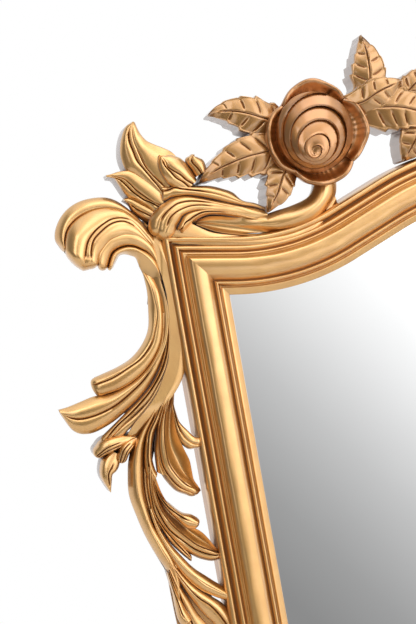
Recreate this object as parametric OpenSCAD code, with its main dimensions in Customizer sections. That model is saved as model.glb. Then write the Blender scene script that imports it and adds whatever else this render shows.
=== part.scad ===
// Cheval floor mirror: a gilt frame with cast scrolls and roses that tilts between
// two turned posts. The floor is z = 0, the front faces -Y, and the mirror hangs
// upright with its pivot axis along X.

/* [Glass] */
// Half width of the glass at its top corners
top_half_w = 253; // [248:1:256]
// Height of the top corners of the glass
corner_z = 1529; // [1524:1:1534]
// Half width of the glass at the waist, level with the pivots
waist_half_w = 180; // [176:1:183]
// Height of the bottom corners of the glass
foot_z = 300; // [290:5:310]
// How far the bottom edge of the glass sags at its middle
bottom_sag = 25; // [15:1:30]
// Thickness of the mirror glass
glass_t = 4; // [3:0.5:4]

/* [Frame moulding] */
// Width of the moulding, from the sight edge outwards
rail_w = 48; // [47:0.5:49]
// Width of the rebate that holds the glass
rebate_w = 8; // [7:0.5:9]
// Radius of both bends in the top rail
bend_r = 205; // [200:1:208]
// Angle that each bend of the top rail turns through
bend_a = 31.5; // [30:0.5:32]
// Length of the straight stretch between the two bends
bend_run = 45.5; // [43:0.5:48]

/* [Castings] */
// Height of the castings' leaves in front of the back of the glass
leaf_h = 8; // [6:0.5:9]
// Height of the raised ribs on the scrolls
rib_h = 18; // [14:1:22]
// Radius of the two shoulder roses
rose_r = 43; // [40:1:44]
// Radius of the crest rose
crest_r = 57; // [54:1:57]

/* [Pivot] */
// Height of the tilt axis
pivot_z = 1000; // [990:1:1010]
// Radius of the clamp bolt
bolt_r = 4; // [3.5:0.1:4.5]
// Radial running clearance of the clamp bolt
bolt_play = 0.05; // [0.03:0.01:0.1]
// Outer radius of the brass bushes
bush_r = 6; // [5.5:0.1:6.5]
// Gap between faces that turn against each other
face_gap = 0.3; // [0.3:0.05:0.5]
// Radius of the clamp knobs
knob_r = 22; // [20:1:24]

/* [Stand] */
// Distance from the middle of the mirror to each post's axis
post_x = 318; // [318:1:322]
// Largest radius of the turned posts
post_r = 24; // [22:1:24]
// Side of the square pivot block in each post
block_w = 54; // [52:1:54]
// Side of each square plinth
plinth_w = 64; // [62:1:64]
// Thickness of each scrolled leg
leg_t = 36; // [30:1:40]
// Height of the stretcher's axis
stretcher_z = 112; // [108:1:116]
// Radius of the felt glides under the feet
glide_r = 16; // [14:1:18]
// Thickness of the glides
glide_t = 6; // [4:1:8]

/* [Hidden] */
$fn = 48;
steps = 3;
datum_y = 5;
back_h = -10;
foam_t = 3;
plate_t = 2;
screw_r = 1.6;
screw_head_r = 3.2;
gilt = "#c8953c";
gilt_dark = "#a87428";
brass = "#c9a448";
steel = "#b4b8bc";
board_brown = "#8a6a48";
felt = "#3a352f";

// Pivot stations along X, measured outwards from the middle of the mirror.
block_in = post_x - block_w / 2;
block_out = post_x + block_w / 2;
boss_in = 228;
boss_out = 266;
boss_tenon_in = 218;
boss_tenon_r = 9;
boss_r = 16;
insert_in = 237;
washer_in = boss_out + face_gap;
washer_out = washer_in + 1.5;
escutcheon_out = block_out + 2;
knob_in = escutcheon_out + face_gap;
knob_out = knob_in + 38;
bolt_in = 240;
bolt_out = knob_in + 24;

// Stand stations.
plinth_top = 165;
plinth_bottom = 65;
block_bottom = pivot_z - 35;
block_top = pivot_z + 35;
neck_top = block_top + 10;
rod_z = 92;
rod_half_l = 62;
foot_y = 222;
tenon_l = 14;

// ---- The sight edge of the glass ----

function stile_x(z) =
    let (top_slope = 0.182, bend_top = 1250, upper_r = (bend_top - pivot_z) / top_slope)
    z > bend_top ? top_half_w - top_slope * (corner_z - z)
    : z > pivot_z
        ? waist_half_w + (z - pivot_z) * (z - pivot_z) / (2 * upper_r)
        : waist_half_w + (pivot_z - z) * (pivot_z - z) / 16000;

// The left half, from the middle of the bottom edge up to the middle of the top.
foot_x = stile_x(foot_z);
bottom_edge = [for (k = [0:5]) let (t = k / 6) [-foot_x * t, foot_z - bottom_sag * (1 - t * t)]];
stile_zs = [foot_z, 400, 500, 600, 700, 800, 900, pivot_z, 1050, 1100, 1150, 1200, 1250];
stile_edge = [for (z = stile_zs) [-stile_x(z), z]];
first_bend = [for (k = [0:6]) let (a = bend_a * k / 6)
    [-top_half_w + bend_r * sin(a), corner_z + bend_r * (1 - cos(a))]];
bend_end = first_bend[6];
run_end = bend_end + bend_run * [cos(bend_a), sin(bend_a)];
peak_z = run_end[1] + bend_r * (1 - cos(bend_a));
second_bend = [for (k = [1:6]) let (a = bend_a * (1 - k / 6))
    [run_end[0] * sin(a) / sin(bend_a), peak_z - bend_r * (1 - cos(a))]];
left_half = concat(bottom_edge, stile_edge, first_bend, [run_end], second_bend);
n_half = len(left_half);
sight = concat(left_half, [for (k = [n_half - 2:-1:1]) [-left_half[k][0], left_half[k][1]]]);
n_sight = len(sight);
i_foot = len(bottom_edge);
i_corner = i_foot + len(stile_edge);

function unit(v) = v / norm(v);
function left_of(v) = [-v[1], v[0]];
function edge_normal(i) = left_of(unit(sight[(i + 1) % n_sight] - sight[i % n_sight]));
function mitre(i) =
    let (a = edge_normal((i + n_sight - 1) % n_sight), b = edge_normal(i))
    (a + b) / (1 + a * b);
function edge_point(i, s) = sight[(i + n_sight) % n_sight] + s * mitre((i + n_sight) % n_sight);
function outline(s) = [for (i = [0:n_sight - 1]) edge_point(i, s)];

// ---- Shared shapes ----

// Extrudes a front view from height h0 to h1 in front of the back of the glass.
module relief(h0, h1) {
    translate([0, datum_y - h0, 0])
        rotate([90, 0, 0])
            linear_extrude(h1 - h0)
                children();
}

// Turns a [radius, height] outline about an axis that points to the front.
module front_turned(x, z, h) {
    translate([x, datum_y - h, z])
        rotate([90, 0, 0])
            rotate_extrude()
                children();
}

// Draws along the X axis, from x0 out to x1, a rod or a bore.
module x_rod(x0, x1, r, z) {
    translate([-x1, 0, z])
        rotate([0, 90, 0])
            cylinder(h = x1 - x0, r = r);
}

module x_tube(x0, x1, r_out, r_in) {
    difference() {
        x_rod(x0, x1, r_out, pivot_z);
        x_rod(x0 - 1, x1 + 1, r_in, pivot_z);
    }
}

module flip() {
    mirror([1, 0, 0])
        children();
}

module both() {
    children();
    flip()
        children();
}

// A smooth curve through points that each hold a place and a half width.
function between(p, i, t) =
    let (
        n = len(p) - 1,
        a = p[max(i - 1, 0)],
        b = p[i],
        c = p[min(i + 1, n)],
        d = p[min(i + 2, n)]
    )
    0.5 * (2 * b + (c - a) * t + (2 * a - 5 * b + 4 * c - d) * t * t + (3 * b - a - 3 * c + d) * t * t * t);
function smooth(p) = concat(
    [for (i = [0:len(p) - 2]) for (k = [0:steps - 1]) between(p, i, k / steps)],
    [p[len(p) - 1]]
);
function flat(p) = [p[0], p[1]];
function side_of(q, i, turn) =
    let (n = len(q) - 1, along = unit(flat(q[min(i + 1, n)]) - flat(q[max(i - 1, 0)])))
    flat(q[i]) + turn * max(q[i][2], 0.5) * left_of(along);
function ribbon(p) =
    let (q = smooth(p), n = len(q) - 1)
    concat([for (i = [0:n]) side_of(q, i, 1)], [for (i = [n:-1:0]) side_of(q, i, -1)]);

// Draws lobes; slim narrows each of them to its rib.
module lobes(group, slim = 1) {
    for (lobe = group)
        polygon(ribbon([for (p = lobe) [p[0], p[1], p[2] * slim]]));
}

// ---- Castings: [x, z, half width] along each lobe, from the top left glass corner ----

corner_lobes = [
    // outer band of the C scroll
    [[-80, -112, 3], [-58, -76, 6], [-49, -52, 6], [-45, -28, 6], [-46, -3, 6], [-52, 25, 7],
        [-64, 48, 7], [-80, 60, 8], [-96, 65, 8], [-112, 58, 10], [-123, 44, 11], [-116, 24, 7]],
    // rim of the scroll
    [[-90, 72, 3], [-116, 70, 5], [-136, 50, 5], [-138, 41, 3]],
    // middle band
    [[-66, 43, 3], [-76, 51, 6], [-89, 51, 7], [-100, 43, 8], [-106, 22, 5]],
    // inner curl
    [[-64, 30, 3], [-72, 38, 4], [-83, 40, 6], [-94, 36, 7], [-99, 21, 4]],
    // inner rib
    [[-69, 18, 2], [-63, -1, 4], [-63, -19, 6], [-69, -39, 6], [-79, -53, 6], [-92, -62, 6],
        [-104, -69, 7], [-111, -72, 5]],
    // long leaf that sweeps out to the tip
    [[-58, -4, 2], [-56, -22, 3], [-59, -41, 5], [-67, -62, 7], [-82, -80, 9], [-101, -92, 10],
        [-120, -96, 8], [-137, -91, 1]],
    // lower leaf
    [[-52, -19, 2], [-52, -40, 3], [-57, -60, 4], [-66, -81, 5], [-76, -96, 6], [-99, -112, 3]],
];
shoulder_lobes = [
    // tall leaf and its wing
    [[-53, 75, 7], [-63, 85, 11], [-74, 98, 12], [-81, 109, 11], [-83, 122, 7], [-80, 132, 3]],
    [[-42, 95, 8], [-53, 104, 9], [-66, 113, 6], [-74, 122, 3]],
    // side and low leaves
    [[-55, 65, 6], [-67, 73, 7], [-79, 82, 7], [-89, 88, 5], [-98, 94, 1]],
    [[-58, 54, 5], [-67, 63, 6], [-77, 69, 5], [-85, 74, 2]],
    // round and small leaves
    [[-21, 81, 5], [-34, 87, 8], [-46, 94, 10], [-55, 101, 9], [-61, 107, 5]],
    [[-20, 94, 6], [-26, 99, 7], [-33, 105, 6], [-37, 108, 3]],
    // strand over the curl
    [[15, 66, 5], [1, 73, 6], [-16, 79, 6], [-32, 82, 6], [-51, 86, 3]],
    // curl and its inner curl
    [[11, 66, 4], [-8, 70, 5], [-26, 71, 6], [-41, 70, 7], [-52, 65, 9], [-57, 56, 9], [-55, 50, 6]],
    [[15, 62, 2], [-3, 66, 3], [-20, 67, 4], [-30, 63, 5], [-40, 51, 3]],
    // stem that carries the rose, and the band below it
    [[85, 91, 6], [79, 83, 9], [65, 72, 10], [49, 64, 10], [30, 58, 9], [12, 55, 6], [-20, 58, 2]],
    [[77, 77, 4], [62, 63, 6], [44, 52, 6], [20, 46, 6], [-4, 44, 6], [-26, 44, 4], [-45, 45, 2]],
];
rose_leaf_lobes = [
    [[44, 137, 12], [27, 142, 14], [15, 145, 16], [4, 147, 12], [-8, 146, 7], [-18, 144, 1]],
    [[48, 122, 12], [25, 114, 13], [14, 112, 16], [1, 106, 14], [-13, 99, 9], [-26, 89, 1]],
    [[52, 112, 10], [40, 96, 11], [39, 86, 13], [34, 76, 8], [29, 68, 1]],
];
garland_lobes = [
    [[115, 167, 8], [117, 177, 16], [116, 189, 15], [114, 201, 9], [110, 214, 1]],
    [[110, 156, 10], [123, 157, 18], [139, 157, 20], [154, 154, 17], [170, 150, 10], [184, 146, 6]],
    [[146, 163, 10], [154, 173, 12], [165, 183, 8], [175, 194, 1]],
    [[163, 142, 10], [154, 132, 13], [151, 121, 12], [146, 113, 3]],
    // stem that runs on to the crest
    [[165, 150, 8], [190, 146, 7], [205, 148, 6]],
];
spray_lobes = [
    // stem
    [[-52, -70, 4], [-68, -102, 4], [-74, -123, 5], [-76, -147, 5], [-75, -167, 5], [-68, -187, 6],
        [-58, -208, 6], [-49, -227, 6], [-42, -247, 6], [-24, -288, 4], [-8, -334, 1]],
    // husk
    [[-70, -106, 4], [-85, -113, 4], [-94, -117, 6], [-102, -123, 7], [-105, -129, 5]],
    [[-74, -112, 3], [-84, -123, 6], [-90, -133, 3]],
    [[-92, -120, 6], [-96, -129, 7], [-98, -138, 7], [-98, -148, 4], [-97, -156, 1]],
    // inner strand and slim leaf
    [[-60, -88, 2], [-67, -122, 3], [-70, -145, 3], [-67, -167, 3], [-59, -185, 3], [-35, -214, 2]],
    [[-53, -78, 3], [-60, -104, 4], [-65, -122, 5], [-63, -142, 2]],
    // hollow and hooked leaves
    [[-47, -74, 3], [-52, -94, 6], [-53, -114, 9], [-47, -134, 10], [-38, -149, 9], [-26, -160, 5]],
    [[-45, -72, 2], [-44, -88, 3], [-42, -103, 4], [-34, -114, 6], [-22, -117, 6]],
    // round and pointed leaves
    [[-66, -138, 3], [-60, -157, 3], [-51, -170, 5], [-40, -179, 6], [-31, -183, 6]],
    [[-66, -151, 3], [-60, -172, 6], [-51, -186, 8], [-38, -200, 10], [-24, -207, 8], [-6, -209, 3]],
    // fan of leaves at the lower end
    [[-58, -201, 4], [-44, -221, 6], [-30, -233, 7], [-16, -240, 6], [-2, -242, 5]],
    [[-51, -223, 4], [-38, -239, 7], [-22, -251, 9], [-8, -264, 8], [4, -279, 3]],
    [[-49, -227, 4], [-45, -241, 6], [-42, -251, 6], [-38, -258, 5]],
    [[-45, -235, 4], [-35, -251, 7], [-24, -271, 9], [-12, -293, 8], [4, -313, 2]],
];
// Lower castings: [x, z, half width] from the middle of the floor.
foot_lobes = [
    [[-262, 311, 3], [-270, 293, 5], [-272, 273, 6], [-268, 255, 6], [-256, 241, 6], [-240, 235, 5],
        [-228, 239, 6], [-226, 247, 5]],
    [[-266, 321, 2], [-272, 307, 6], [-278, 289, 6], [-281, 273, 1]],
    [[-258, 243, 4], [-262, 229, 7], [-256, 215, 8], [-244, 205, 1]],
    [[-270, 261, 4], [-276, 251, 6], [-280, 239, 5], [-282, 229, 1]],
    [[-240, 243, 4], [-214, 237, 6], [-188, 240, 5], [-166, 246, 2]],
];
lower_spray_lobes = [
    [[-262, 340, 5], [-268, 390, 5], [-262, 430, 5], [-254, 470, 5], [-248, 510, 5], [-243, 560, 3],
        [-238, 600, 1]],
    [[-266, 380, 4], [-274, 400, 7], [-278, 424, 6], [-276, 444, 1]],
    [[-262, 430, 4], [-269, 450, 7], [-271, 474, 6], [-266, 494, 1]],
    [[-254, 470, 4], [-261, 492, 6], [-261, 514, 5], [-256, 534, 1]],
    [[-262, 430, 4], [-254, 414, 6], [-248, 398, 4]],
];
apron_lobes = [
    [[-10, 216, 8], [-30, 212, 10], [-52, 216, 9], [-78, 226, 4]],
    [[-12, 204, 6], [-30, 196, 7], [-48, 194, 6], [-62, 198, 1]],
];
crest_lobes = [
    [[0, 1760, 10], [0, 1775, 13], [0, 1788, 9], [0, 1800, 1]],
    [[-26, 1750, 10], [-38, 1766, 12], [-44, 1780, 8], [-46, 1792, 1]],
    [[-44, 1726, 10], [-60, 1736, 12], [-74, 1744, 8], [-86, 1748, 1]],
    [[-40, 1690, 12], [-58, 1680, 13], [-76, 1674, 9], [-92, 1672, 1]],
];

left_rose = [-181, 1663];
crest_root_w = 40;
crest_rose_z = peak_z + rail_w + crest_r + 1;
apron_rose_z = 204;
apron_r = 22;

module from_corner() {
    translate([-top_half_w, corner_z])
        children();
}

module corner_view(slim = 1) {
    from_corner()
        lobes(corner_lobes, slim);
}

module shoulder_view(slim = 1) {
    from_corner()
        lobes(shoulder_lobes, slim);
}

module spray_view(slim = 1) {
    from_corner()
        lobes(spray_lobes, slim);
}

module rose_leaf_view() {
    from_corner()
        lobes(rose_leaf_lobes);
    translate(left_rose)
        circle(r = rose_r - 8, $fn = 12);
}

module garland_view() {
    from_corner()
        lobes(garland_lobes);
}

module crest_view() {
    lobes(crest_lobes);
    flip()
        lobes(crest_lobes);
    translate([0, crest_rose_z])
        circle(r = crest_r - 6, $fn = 12);
    translate([-crest_root_w / 2, peak_z + rail_w - 4])
        square([crest_root_w, 30]);
}

module frame_view() {
    polygon(outline(rail_w));
}

// ---- Mirror frame ----

moulding = [
    [0, glass_t], [0, 9], [4, 12], [6, 14], [9, 12], [13, 16], [19, 22], [26, 16], [28, 13.5],
    [31, 16.5], [36, 16], [38, 11.5], [42, 15], [rail_w, 4], [rail_w, back_h], [rebate_w, back_h],
    [rebate_w, glass_t]
];

// Sweeps the moulding along the sight edge from point i0 to point i1.
module rail(i0, i1) {
    n = len(moulding);
    rings = i1 - i0;
    points = [for (i = [i0:i1]) for (m = moulding)
        let (p = edge_point(i, m[0])) [p[0], datum_y - m[1], p[1]]];
    sides = [for (i = [0:rings - 1]) for (k = [0:n - 1])
        let (a = i * n + k, b = i * n + (k + 1) % n) [a, b, b + n, a + n]];
    first_cap = [for (k = [n - 1:-1:0]) k];
    last_cap = [for (k = [0:n - 1]) rings * n + k];
    polyhedron(points = points, faces = concat(sides, [first_cap, last_cap]), convexity = 8);
}

module stile() {
    color(gilt)
        difference() {
            rail(i_foot, i_corner);
            x_rod(boss_tenon_in, boss_in + 10, boss_tenon_r, pivot_z);
        }
}

module top_rail() {
    color(gilt)
        rail(i_corner, i_corner + 2 * (n_half - 1 - i_corner));
}

module bottom_rail() {
    color(gilt)
        rail(-i_foot, i_foot);
}

module mirror_glass() {
    color("#dfe4e8")
        relief(0, glass_t)
            polygon(outline(rebate_w - 1));
}

module foam_sheet() {
    color("#e6e2da")
        relief(-foam_t, 0)
            polygon(outline(rebate_w - 1));
}

module backing_board() {
    color(board_brown)
        relief(back_h, -foam_t)
            polygon(outline(rebate_w - 1));
}

// Stations on the sight edge that carry a clip, on the left half.
clip_stations = [3, i_foot + 2, i_foot + 4, i_foot + 6, i_foot + 9, i_foot + 11, i_corner + 3,
    i_corner + 9];
clip_w = 14;
clip_reach = 8;
clip_root = 26;
clip_screw_s = 18;

module at_station(i, s) {
    p = edge_point(i, s);
    m = mitre(i);
    translate([p[0], 0, p[1]])
        rotate([0, -atan2(m[1], m[0]), 0])
            children();
}

module backing_clips() {
    color(steel)
        both()
            for (i = clip_stations)
                difference() {
                    at_station(i, 0)
                        translate([-clip_reach, datum_y - back_h, -clip_w / 2])
                            cube([clip_reach + clip_root, plate_t, clip_w]);
                    at_station(i, clip_screw_s)
                        screw_shank(screw_r);
                }
}

// A screw driven from the back; its head bears on a plate.
module screw_shank(r) {
    translate([0, datum_y - back_h + plate_t + 1, 0])
        rotate([90, 0, 0])
            cylinder(h = 14, r = r, $fn = 24);
}

module screw() {
    translate([0, datum_y - back_h + plate_t + 1.5, 0])
        rotate([90, 0, 0])
            cylinder(h = 1.5, r = screw_head_r, $fn = 24);
    screw_shank(screw_r);
}

module clip_screws() {
    color(steel)
        both()
            for (i = clip_stations)
                at_station(i, clip_screw_s)
                    screw();
}

// Flat corner plates across the four mitred joints.
plate_leg = 70;
plate_w = 18;
plate_s = 28;

module along_rail(i, step) {
    p = edge_point(i, plate_s);
    d = unit(edge_point(i + step, plate_s) - p);
    translate([p[0], 0, p[1]])
        rotate([0, -atan2(d[1], d[0]), 0])
            children();
}

module corner_arm() {
    translate([-plate_w / 2, datum_y - back_h, -plate_w / 2])
        cube([plate_leg, plate_t, plate_w]);
}

module plate_holes() {
    for (x = [22, 48])
        translate([x, 0, 0])
            children();
}

module corner_plates() {
    color(steel)
        both()
            for (i = [i_foot, i_corner])
                difference() {
                    union() {
                        along_rail(i, 1)
                            corner_arm();
                        along_rail(i, -1)
                            corner_arm();
                    }
                    along_rail(i, 1)
                        plate_holes()
                            screw_shank(screw_r);
                    along_rail(i, -1)
                        plate_holes()
                            screw_shank(screw_r);
                }
}

module corner_screws() {
    color(steel)
        both()
            for (i = [i_foot, i_corner])
                for (step = [-1, 1])
                    along_rail(i, step)
                        plate_holes()
                            screw();
}

// ---- Castings ----

module casting(shade = gilt) {
    color(shade)
        relief(back_h, leaf_h)
            children();
}

module ribs() {
    color(gilt)
        relief(leaf_h, rib_h)
            difference() {
                children();
                frame_view();
                translate(left_rose)
                    circle(r = rose_r + 1);
            }
}

module shoulder_scroll() {
    casting()
        difference() {
            shoulder_view();
            frame_view();
            rose_leaf_view();
        }
    ribs()
        intersection() {
            shoulder_view(0.5);
            difference() {
                shoulder_view();
                rose_leaf_view();
            }
        }
}

module corner_scroll() {
    casting()
        difference() {
            corner_view();
            frame_view();
            shoulder_view();
        }
    ribs()
        difference() {
            corner_view(0.5);
            shoulder_view();
        }
}

module side_spray() {
    casting()
        difference() {
            spray_view();
            frame_view();
            corner_view();
        }
    ribs()
        difference() {
            spray_view(0.5);
            corner_view();
        }
}

module rose_leaves() {
    casting(gilt_dark)
        difference() {
            rose_leaf_view();
            frame_view();
        }
}

module garland() {
    casting(gilt_dark)
        difference() {
            garland_view();
            frame_view();
            rose_leaf_view();
            shoulder_view();
            crest_view();
        }
}

module crest_leaves() {
    casting(gilt_dark)
        difference() {
            crest_view();
            frame_view();
        }
}

module foot_scroll() {
    casting()
        difference() {
            lobes(foot_lobes);
            frame_view();
        }
}

module lower_spray() {
    casting()
        difference() {
            lobes(lower_spray_lobes);
            frame_view();
        }
}

module apron_leaves() {
    casting(gilt_dark)
        difference() {
            union() {
                lobes(apron_lobes);
                flip()
                    lobes(apron_lobes);
                translate([0, apron_rose_z + 6])
                    circle(r = apron_r - 2, $fn = 12);
            }
            frame_view();
        }
}

// A rose: an open cup of petals with a closed bud inside.
module rose(x, z, r) {
    color(gilt)
        front_turned(x, z, leaf_h)
            polygon([
                [0, 0], [r * 0.6, 0], [r, r * 0.25], [r, r * 0.4], [r * 0.8, r * 0.4],
                [r * 0.76, r * 0.6], [r * 0.6, r * 0.8], [r * 0.3, r * 0.86], [0, r * 0.86]
            ]);
}

module shoulder_rose() {
    rose(left_rose[0], left_rose[1], rose_r);
}

module crest_rose() {
    rose(0, crest_rose_z, crest_r);
}

module apron_rose() {
    rose(0, apron_rose_z, apron_r);
}

// ---- Pivot hardware, left side ----

module pivot_boss() {
    color(gilt)
        difference() {
            union() {
                x_rod(boss_in, boss_out, boss_r, pivot_z);
                x_rod(boss_tenon_in, boss_in + 1, boss_tenon_r, pivot_z);
            }
            x_rod(insert_in, boss_out + 1, bush_r, pivot_z);
        }
}

module pivot_insert() {
    color(brass)
        x_tube(insert_in, boss_out, bush_r, bolt_r + bolt_play);
}

module pivot_sleeve() {
    color(brass)
        x_tube(washer_out, block_out, bush_r, bolt_r + bolt_play);
}

module pivot_collar() {
    color(brass)
        x_tube(washer_out, block_in, 14, bush_r);
}

module friction_washers() {
    color(felt)
        both()
            x_tube(washer_in, washer_out, 13, bolt_r + 1);
}

module escutcheons() {
    color(brass)
        both()
            x_tube(block_out, escutcheon_out, 18, bolt_r + 1);
}

module knob() {
    flutes = 8;
    color(gilt)
        difference() {
            x_rod(knob_in, knob_out, knob_r, pivot_z);
            x_rod(knob_in - 1, bolt_out, bolt_r, pivot_z);
            for (k = [1:flutes])
                translate([0, 0, pivot_z])
                    rotate([360 / flutes * k, 0, 0])
                        x_rod(knob_in + 8, knob_out + 1, 4, knob_r + 2);
        }
}

module knob_bolt() {
    color(brass)
        x_rod(bolt_in, bolt_out, bolt_r, pivot_z);
}

// ---- Stand, left side ----

module post() {
    color(gilt)
        difference() {
            union() {
                translate([-post_x, 0, 0])
                    rotate_extrude()
                        polygon([
                            [0, 125], [12, 125], [12, plinth_top], [post_r, plinth_top],
                            [post_r, 180], [18, 188], [22, 200], [16, 215], [20, 260], [22, 420],
                            [19, 700], [15, 880], [20, 895], [14, 910], [22, 930], [22, 940],
                            [17, 950], [post_r, block_bottom - 3], [post_r, block_bottom + 1],
                            [0, block_bottom + 1]
                        ]);
                translate([-block_out, -block_w / 2, block_bottom])
                    cube([block_w, block_w, block_top - block_bottom]);
                translate([-post_x, 0, block_top - 1])
                    cylinder(h = neck_top - block_top + 1, r = 20);
            }
            x_rod(block_in - 1, block_out + 1, bush_r, pivot_z);
            translate([-post_x, 0, neck_top - 18])
                cylinder(h = 20, r = 5);
        }
}

module finial() {
    color(gilt)
        translate([-post_x, 0, neck_top])
            rotate_extrude()
                polygon([
                    [0, -18], [5, -18], [5, 0], [20, 0], [22, 7], [12, 15], [10, 21], [22, 31],
                    [24, 41], [18, 53], [8, 61], [5, 67], [0, 69]
                ]);
}

module plinth() {
    cap = 72;
    color(gilt)
        difference() {
            union() {
                translate([-post_x - plinth_w / 2, -plinth_w / 2, plinth_bottom])
                    cube([plinth_w, plinth_w, plinth_top - plinth_bottom]);
                translate([-post_x - cap / 2, -cap / 2, plinth_top - 8])
                    cube([cap, cap, 8]);
            }
            translate([-post_x, 0, 125])
                cylinder(h = 50, r = 12);
            x_rod(post_x - plinth_w / 2 - 1, post_x - plinth_w / 2 + tenon_l, 9, stretcher_z);
            x_rod(post_x - 20, post_x + plinth_w / 2 + 1, bolt_r, stretcher_z);
            rod_bore(rod_half_l);
        }
}

module rod_bore(half_l) {
    translate([-post_x, half_l, rod_z])
        rotate([90, 0, 0])
            cylinder(h = 2 * half_l, r = bolt_r);
}

// A scrolled leg: [y, z, half width] along its curve.
leg_curve = [[20, 100, 30], [60, 112, 26], [105, 98, 19], [145, 62, 15], [185, 32, 13],
    [220, 24, 14], [242, 34, 11], [250, 52, 6]];

module leg() {
    color(gilt)
        difference() {
            translate([-post_x - leg_t / 2, 0, 0])
                rotate([90, 0, 90])
                    linear_extrude(leg_t)
                        difference() {
                            union() {
                                polygon(ribbon(leg_curve));
                                translate([foot_y - glide_r - 2, glide_t])
                                    square([2 * glide_r + 4, 14]);
                            }
                            translate([-50, 0])
                                square([50 + plinth_w / 2, 200]);
                            square([300, glide_t]);
                        }
            rod_bore(rod_half_l);
        }
}

module leg_front() {
    mirror([0, 1, 0])
        leg();
}

module leg_rods() {
    color(steel)
        both()
            rod_bore(rod_half_l);
}

module glides() {
    color(felt)
        both()
            for (side = [-1, 1])
                translate([-post_x, side * foot_y, 0])
                    cylinder(h = glide_t, r = glide_r);
}

module stretcher() {
    face = post_x - plinth_w / 2;
    half = [
        [9, face + tenon_l], [9, face], [13, face], [13, face - 10], [17, face - 16],
        [12, face - 24], [12, face - 36], [15, 190], [17, 90], [19, 40], [15, 30]
    ];
    outline_pts = concat(
        [[0, face + tenon_l]], half,
        [for (k = [len(half) - 1:-1:0]) [half[k][0], -half[k][1]]],
        [[0, -face - tenon_l]]
    );
    color(gilt)
        difference() {
            union() {
                translate([0, 0, stretcher_z])
                    rotate([0, 90, 0])
                        rotate_extrude()
                            polygon(outline_pts);
                translate([-34, -17, stretcher_z - 19])
                    cube([68, 34, 38]);
            }
            both()
                x_rod(post_x - 48, post_x, bolt_r, stretcher_z);
        }
}

module stretcher_rosette() {
    color(gilt_dark)
        translate([0, -17, stretcher_z])
            rotate([90, 0, 0])
                rotate_extrude()
                    polygon([[0, 0], [18, 0], [23, 4], [22, 8], [14, 9], [10, 13], [0, 15]]);
}

module stretcher_bolts() {
    outer = post_x + plinth_w / 2;
    color(brass)
        both() {
            x_rod(post_x - 48, outer, bolt_r, stretcher_z);
            x_rod(outer, outer + 5, 9, stretcher_z);
        }
}

post();  // post_left
flip() post();  // post_right
finial();  // finial_left
flip() finial();  // finial_right
plinth();  // plinth_left
flip() plinth();  // plinth_right
leg_front();  // leg_front_left
leg();  // leg_back_left
flip() leg_front();  // leg_front_right
flip() leg();  // leg_back_right
leg_rods();
stretcher();
stretcher_rosette();
stretcher_bolts();
glides();
pivot_sleeve();  // pivot_sleeve_left
flip() pivot_sleeve();  // pivot_sleeve_right
pivot_collar();  // pivot_collar_left
flip() pivot_collar();  // pivot_collar_right
friction_washers();
escutcheons();
stile();  // stile_left
flip() stile();  // stile_right
top_rail();
bottom_rail();
mirror_glass();
foam_sheet();
backing_board();
backing_clips();
clip_screws();
corner_plates();
corner_screws();
pivot_boss();  // pivot_boss_left
flip() pivot_boss();  // pivot_boss_right
pivot_insert();  // pivot_insert_left
flip() pivot_insert();  // pivot_insert_right
crest_rose();
crest_leaves();
shoulder_rose();  // shoulder_rose_left
flip() shoulder_rose();  // shoulder_rose_right
rose_leaves();  // rose_leaves_left
flip() rose_leaves();  // rose_leaves_right
garland();  // garland_left
flip() garland();  // garland_right
shoulder_scroll();  // shoulder_scroll_left
flip() shoulder_scroll();  // shoulder_scroll_right
corner_scroll();  // corner_scroll_left
flip() corner_scroll();  // corner_scroll_right
side_spray();  // side_spray_left
flip() side_spray();  // side_spray_right
lower_spray();  // lower_spray_left
flip() lower_spray();  // lower_spray_right
foot_scroll();  // foot_scroll_left
flip() foot_scroll();  // foot_scroll_right
apron_leaves();
apron_rose();
knob();  // knob_left
knob_bolt();  // knob_bolt_left
flip() knob();  // knob_right
flip() knob_bolt();  // knob_bolt_right
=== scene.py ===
"""Looks of the cheval floor mirror: gilt castings, moulding, glass and stand around the CAD frame."""
import math

import bmesh
import bpy
import numpy as np
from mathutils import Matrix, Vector

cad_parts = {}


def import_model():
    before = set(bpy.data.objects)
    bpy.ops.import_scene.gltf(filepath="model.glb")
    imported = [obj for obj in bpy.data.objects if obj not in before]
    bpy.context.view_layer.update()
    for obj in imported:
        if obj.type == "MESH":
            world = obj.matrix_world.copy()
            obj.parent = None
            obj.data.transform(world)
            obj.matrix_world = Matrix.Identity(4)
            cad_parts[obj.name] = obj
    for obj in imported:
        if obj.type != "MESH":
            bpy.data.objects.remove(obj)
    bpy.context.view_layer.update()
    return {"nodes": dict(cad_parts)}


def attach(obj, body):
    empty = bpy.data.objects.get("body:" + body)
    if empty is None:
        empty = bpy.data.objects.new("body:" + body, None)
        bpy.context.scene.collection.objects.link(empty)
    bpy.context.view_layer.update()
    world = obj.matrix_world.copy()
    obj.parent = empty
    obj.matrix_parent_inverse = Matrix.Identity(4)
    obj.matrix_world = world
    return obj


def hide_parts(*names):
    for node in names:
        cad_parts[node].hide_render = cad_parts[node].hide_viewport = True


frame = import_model()

# Shapes are laid out in millimetres and scaled to metres when a mesh is made.
MM = 0.001

# Driving dimensions, the same as the CAD part's.
GLASS_BACK_Y = 5.0
BACK_H = -10.0
TOP_HALF_W = 253.0
CORNER_Z = 1529.0
WAIST_HALF_W = 180.0
PIVOT_Z = 1000.0
FOOT_Z = 300.0
BOTTOM_SAG = 25.0
BEND_R = 205.0
BEND_A = math.radians(31.5)
BEND_RUN = 45.5
RAIL_W = 48.0
REBATE_W = 8.0
CORNER = np.array([-TOP_HALF_W, CORNER_Z])


# ---- Curves ----

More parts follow.
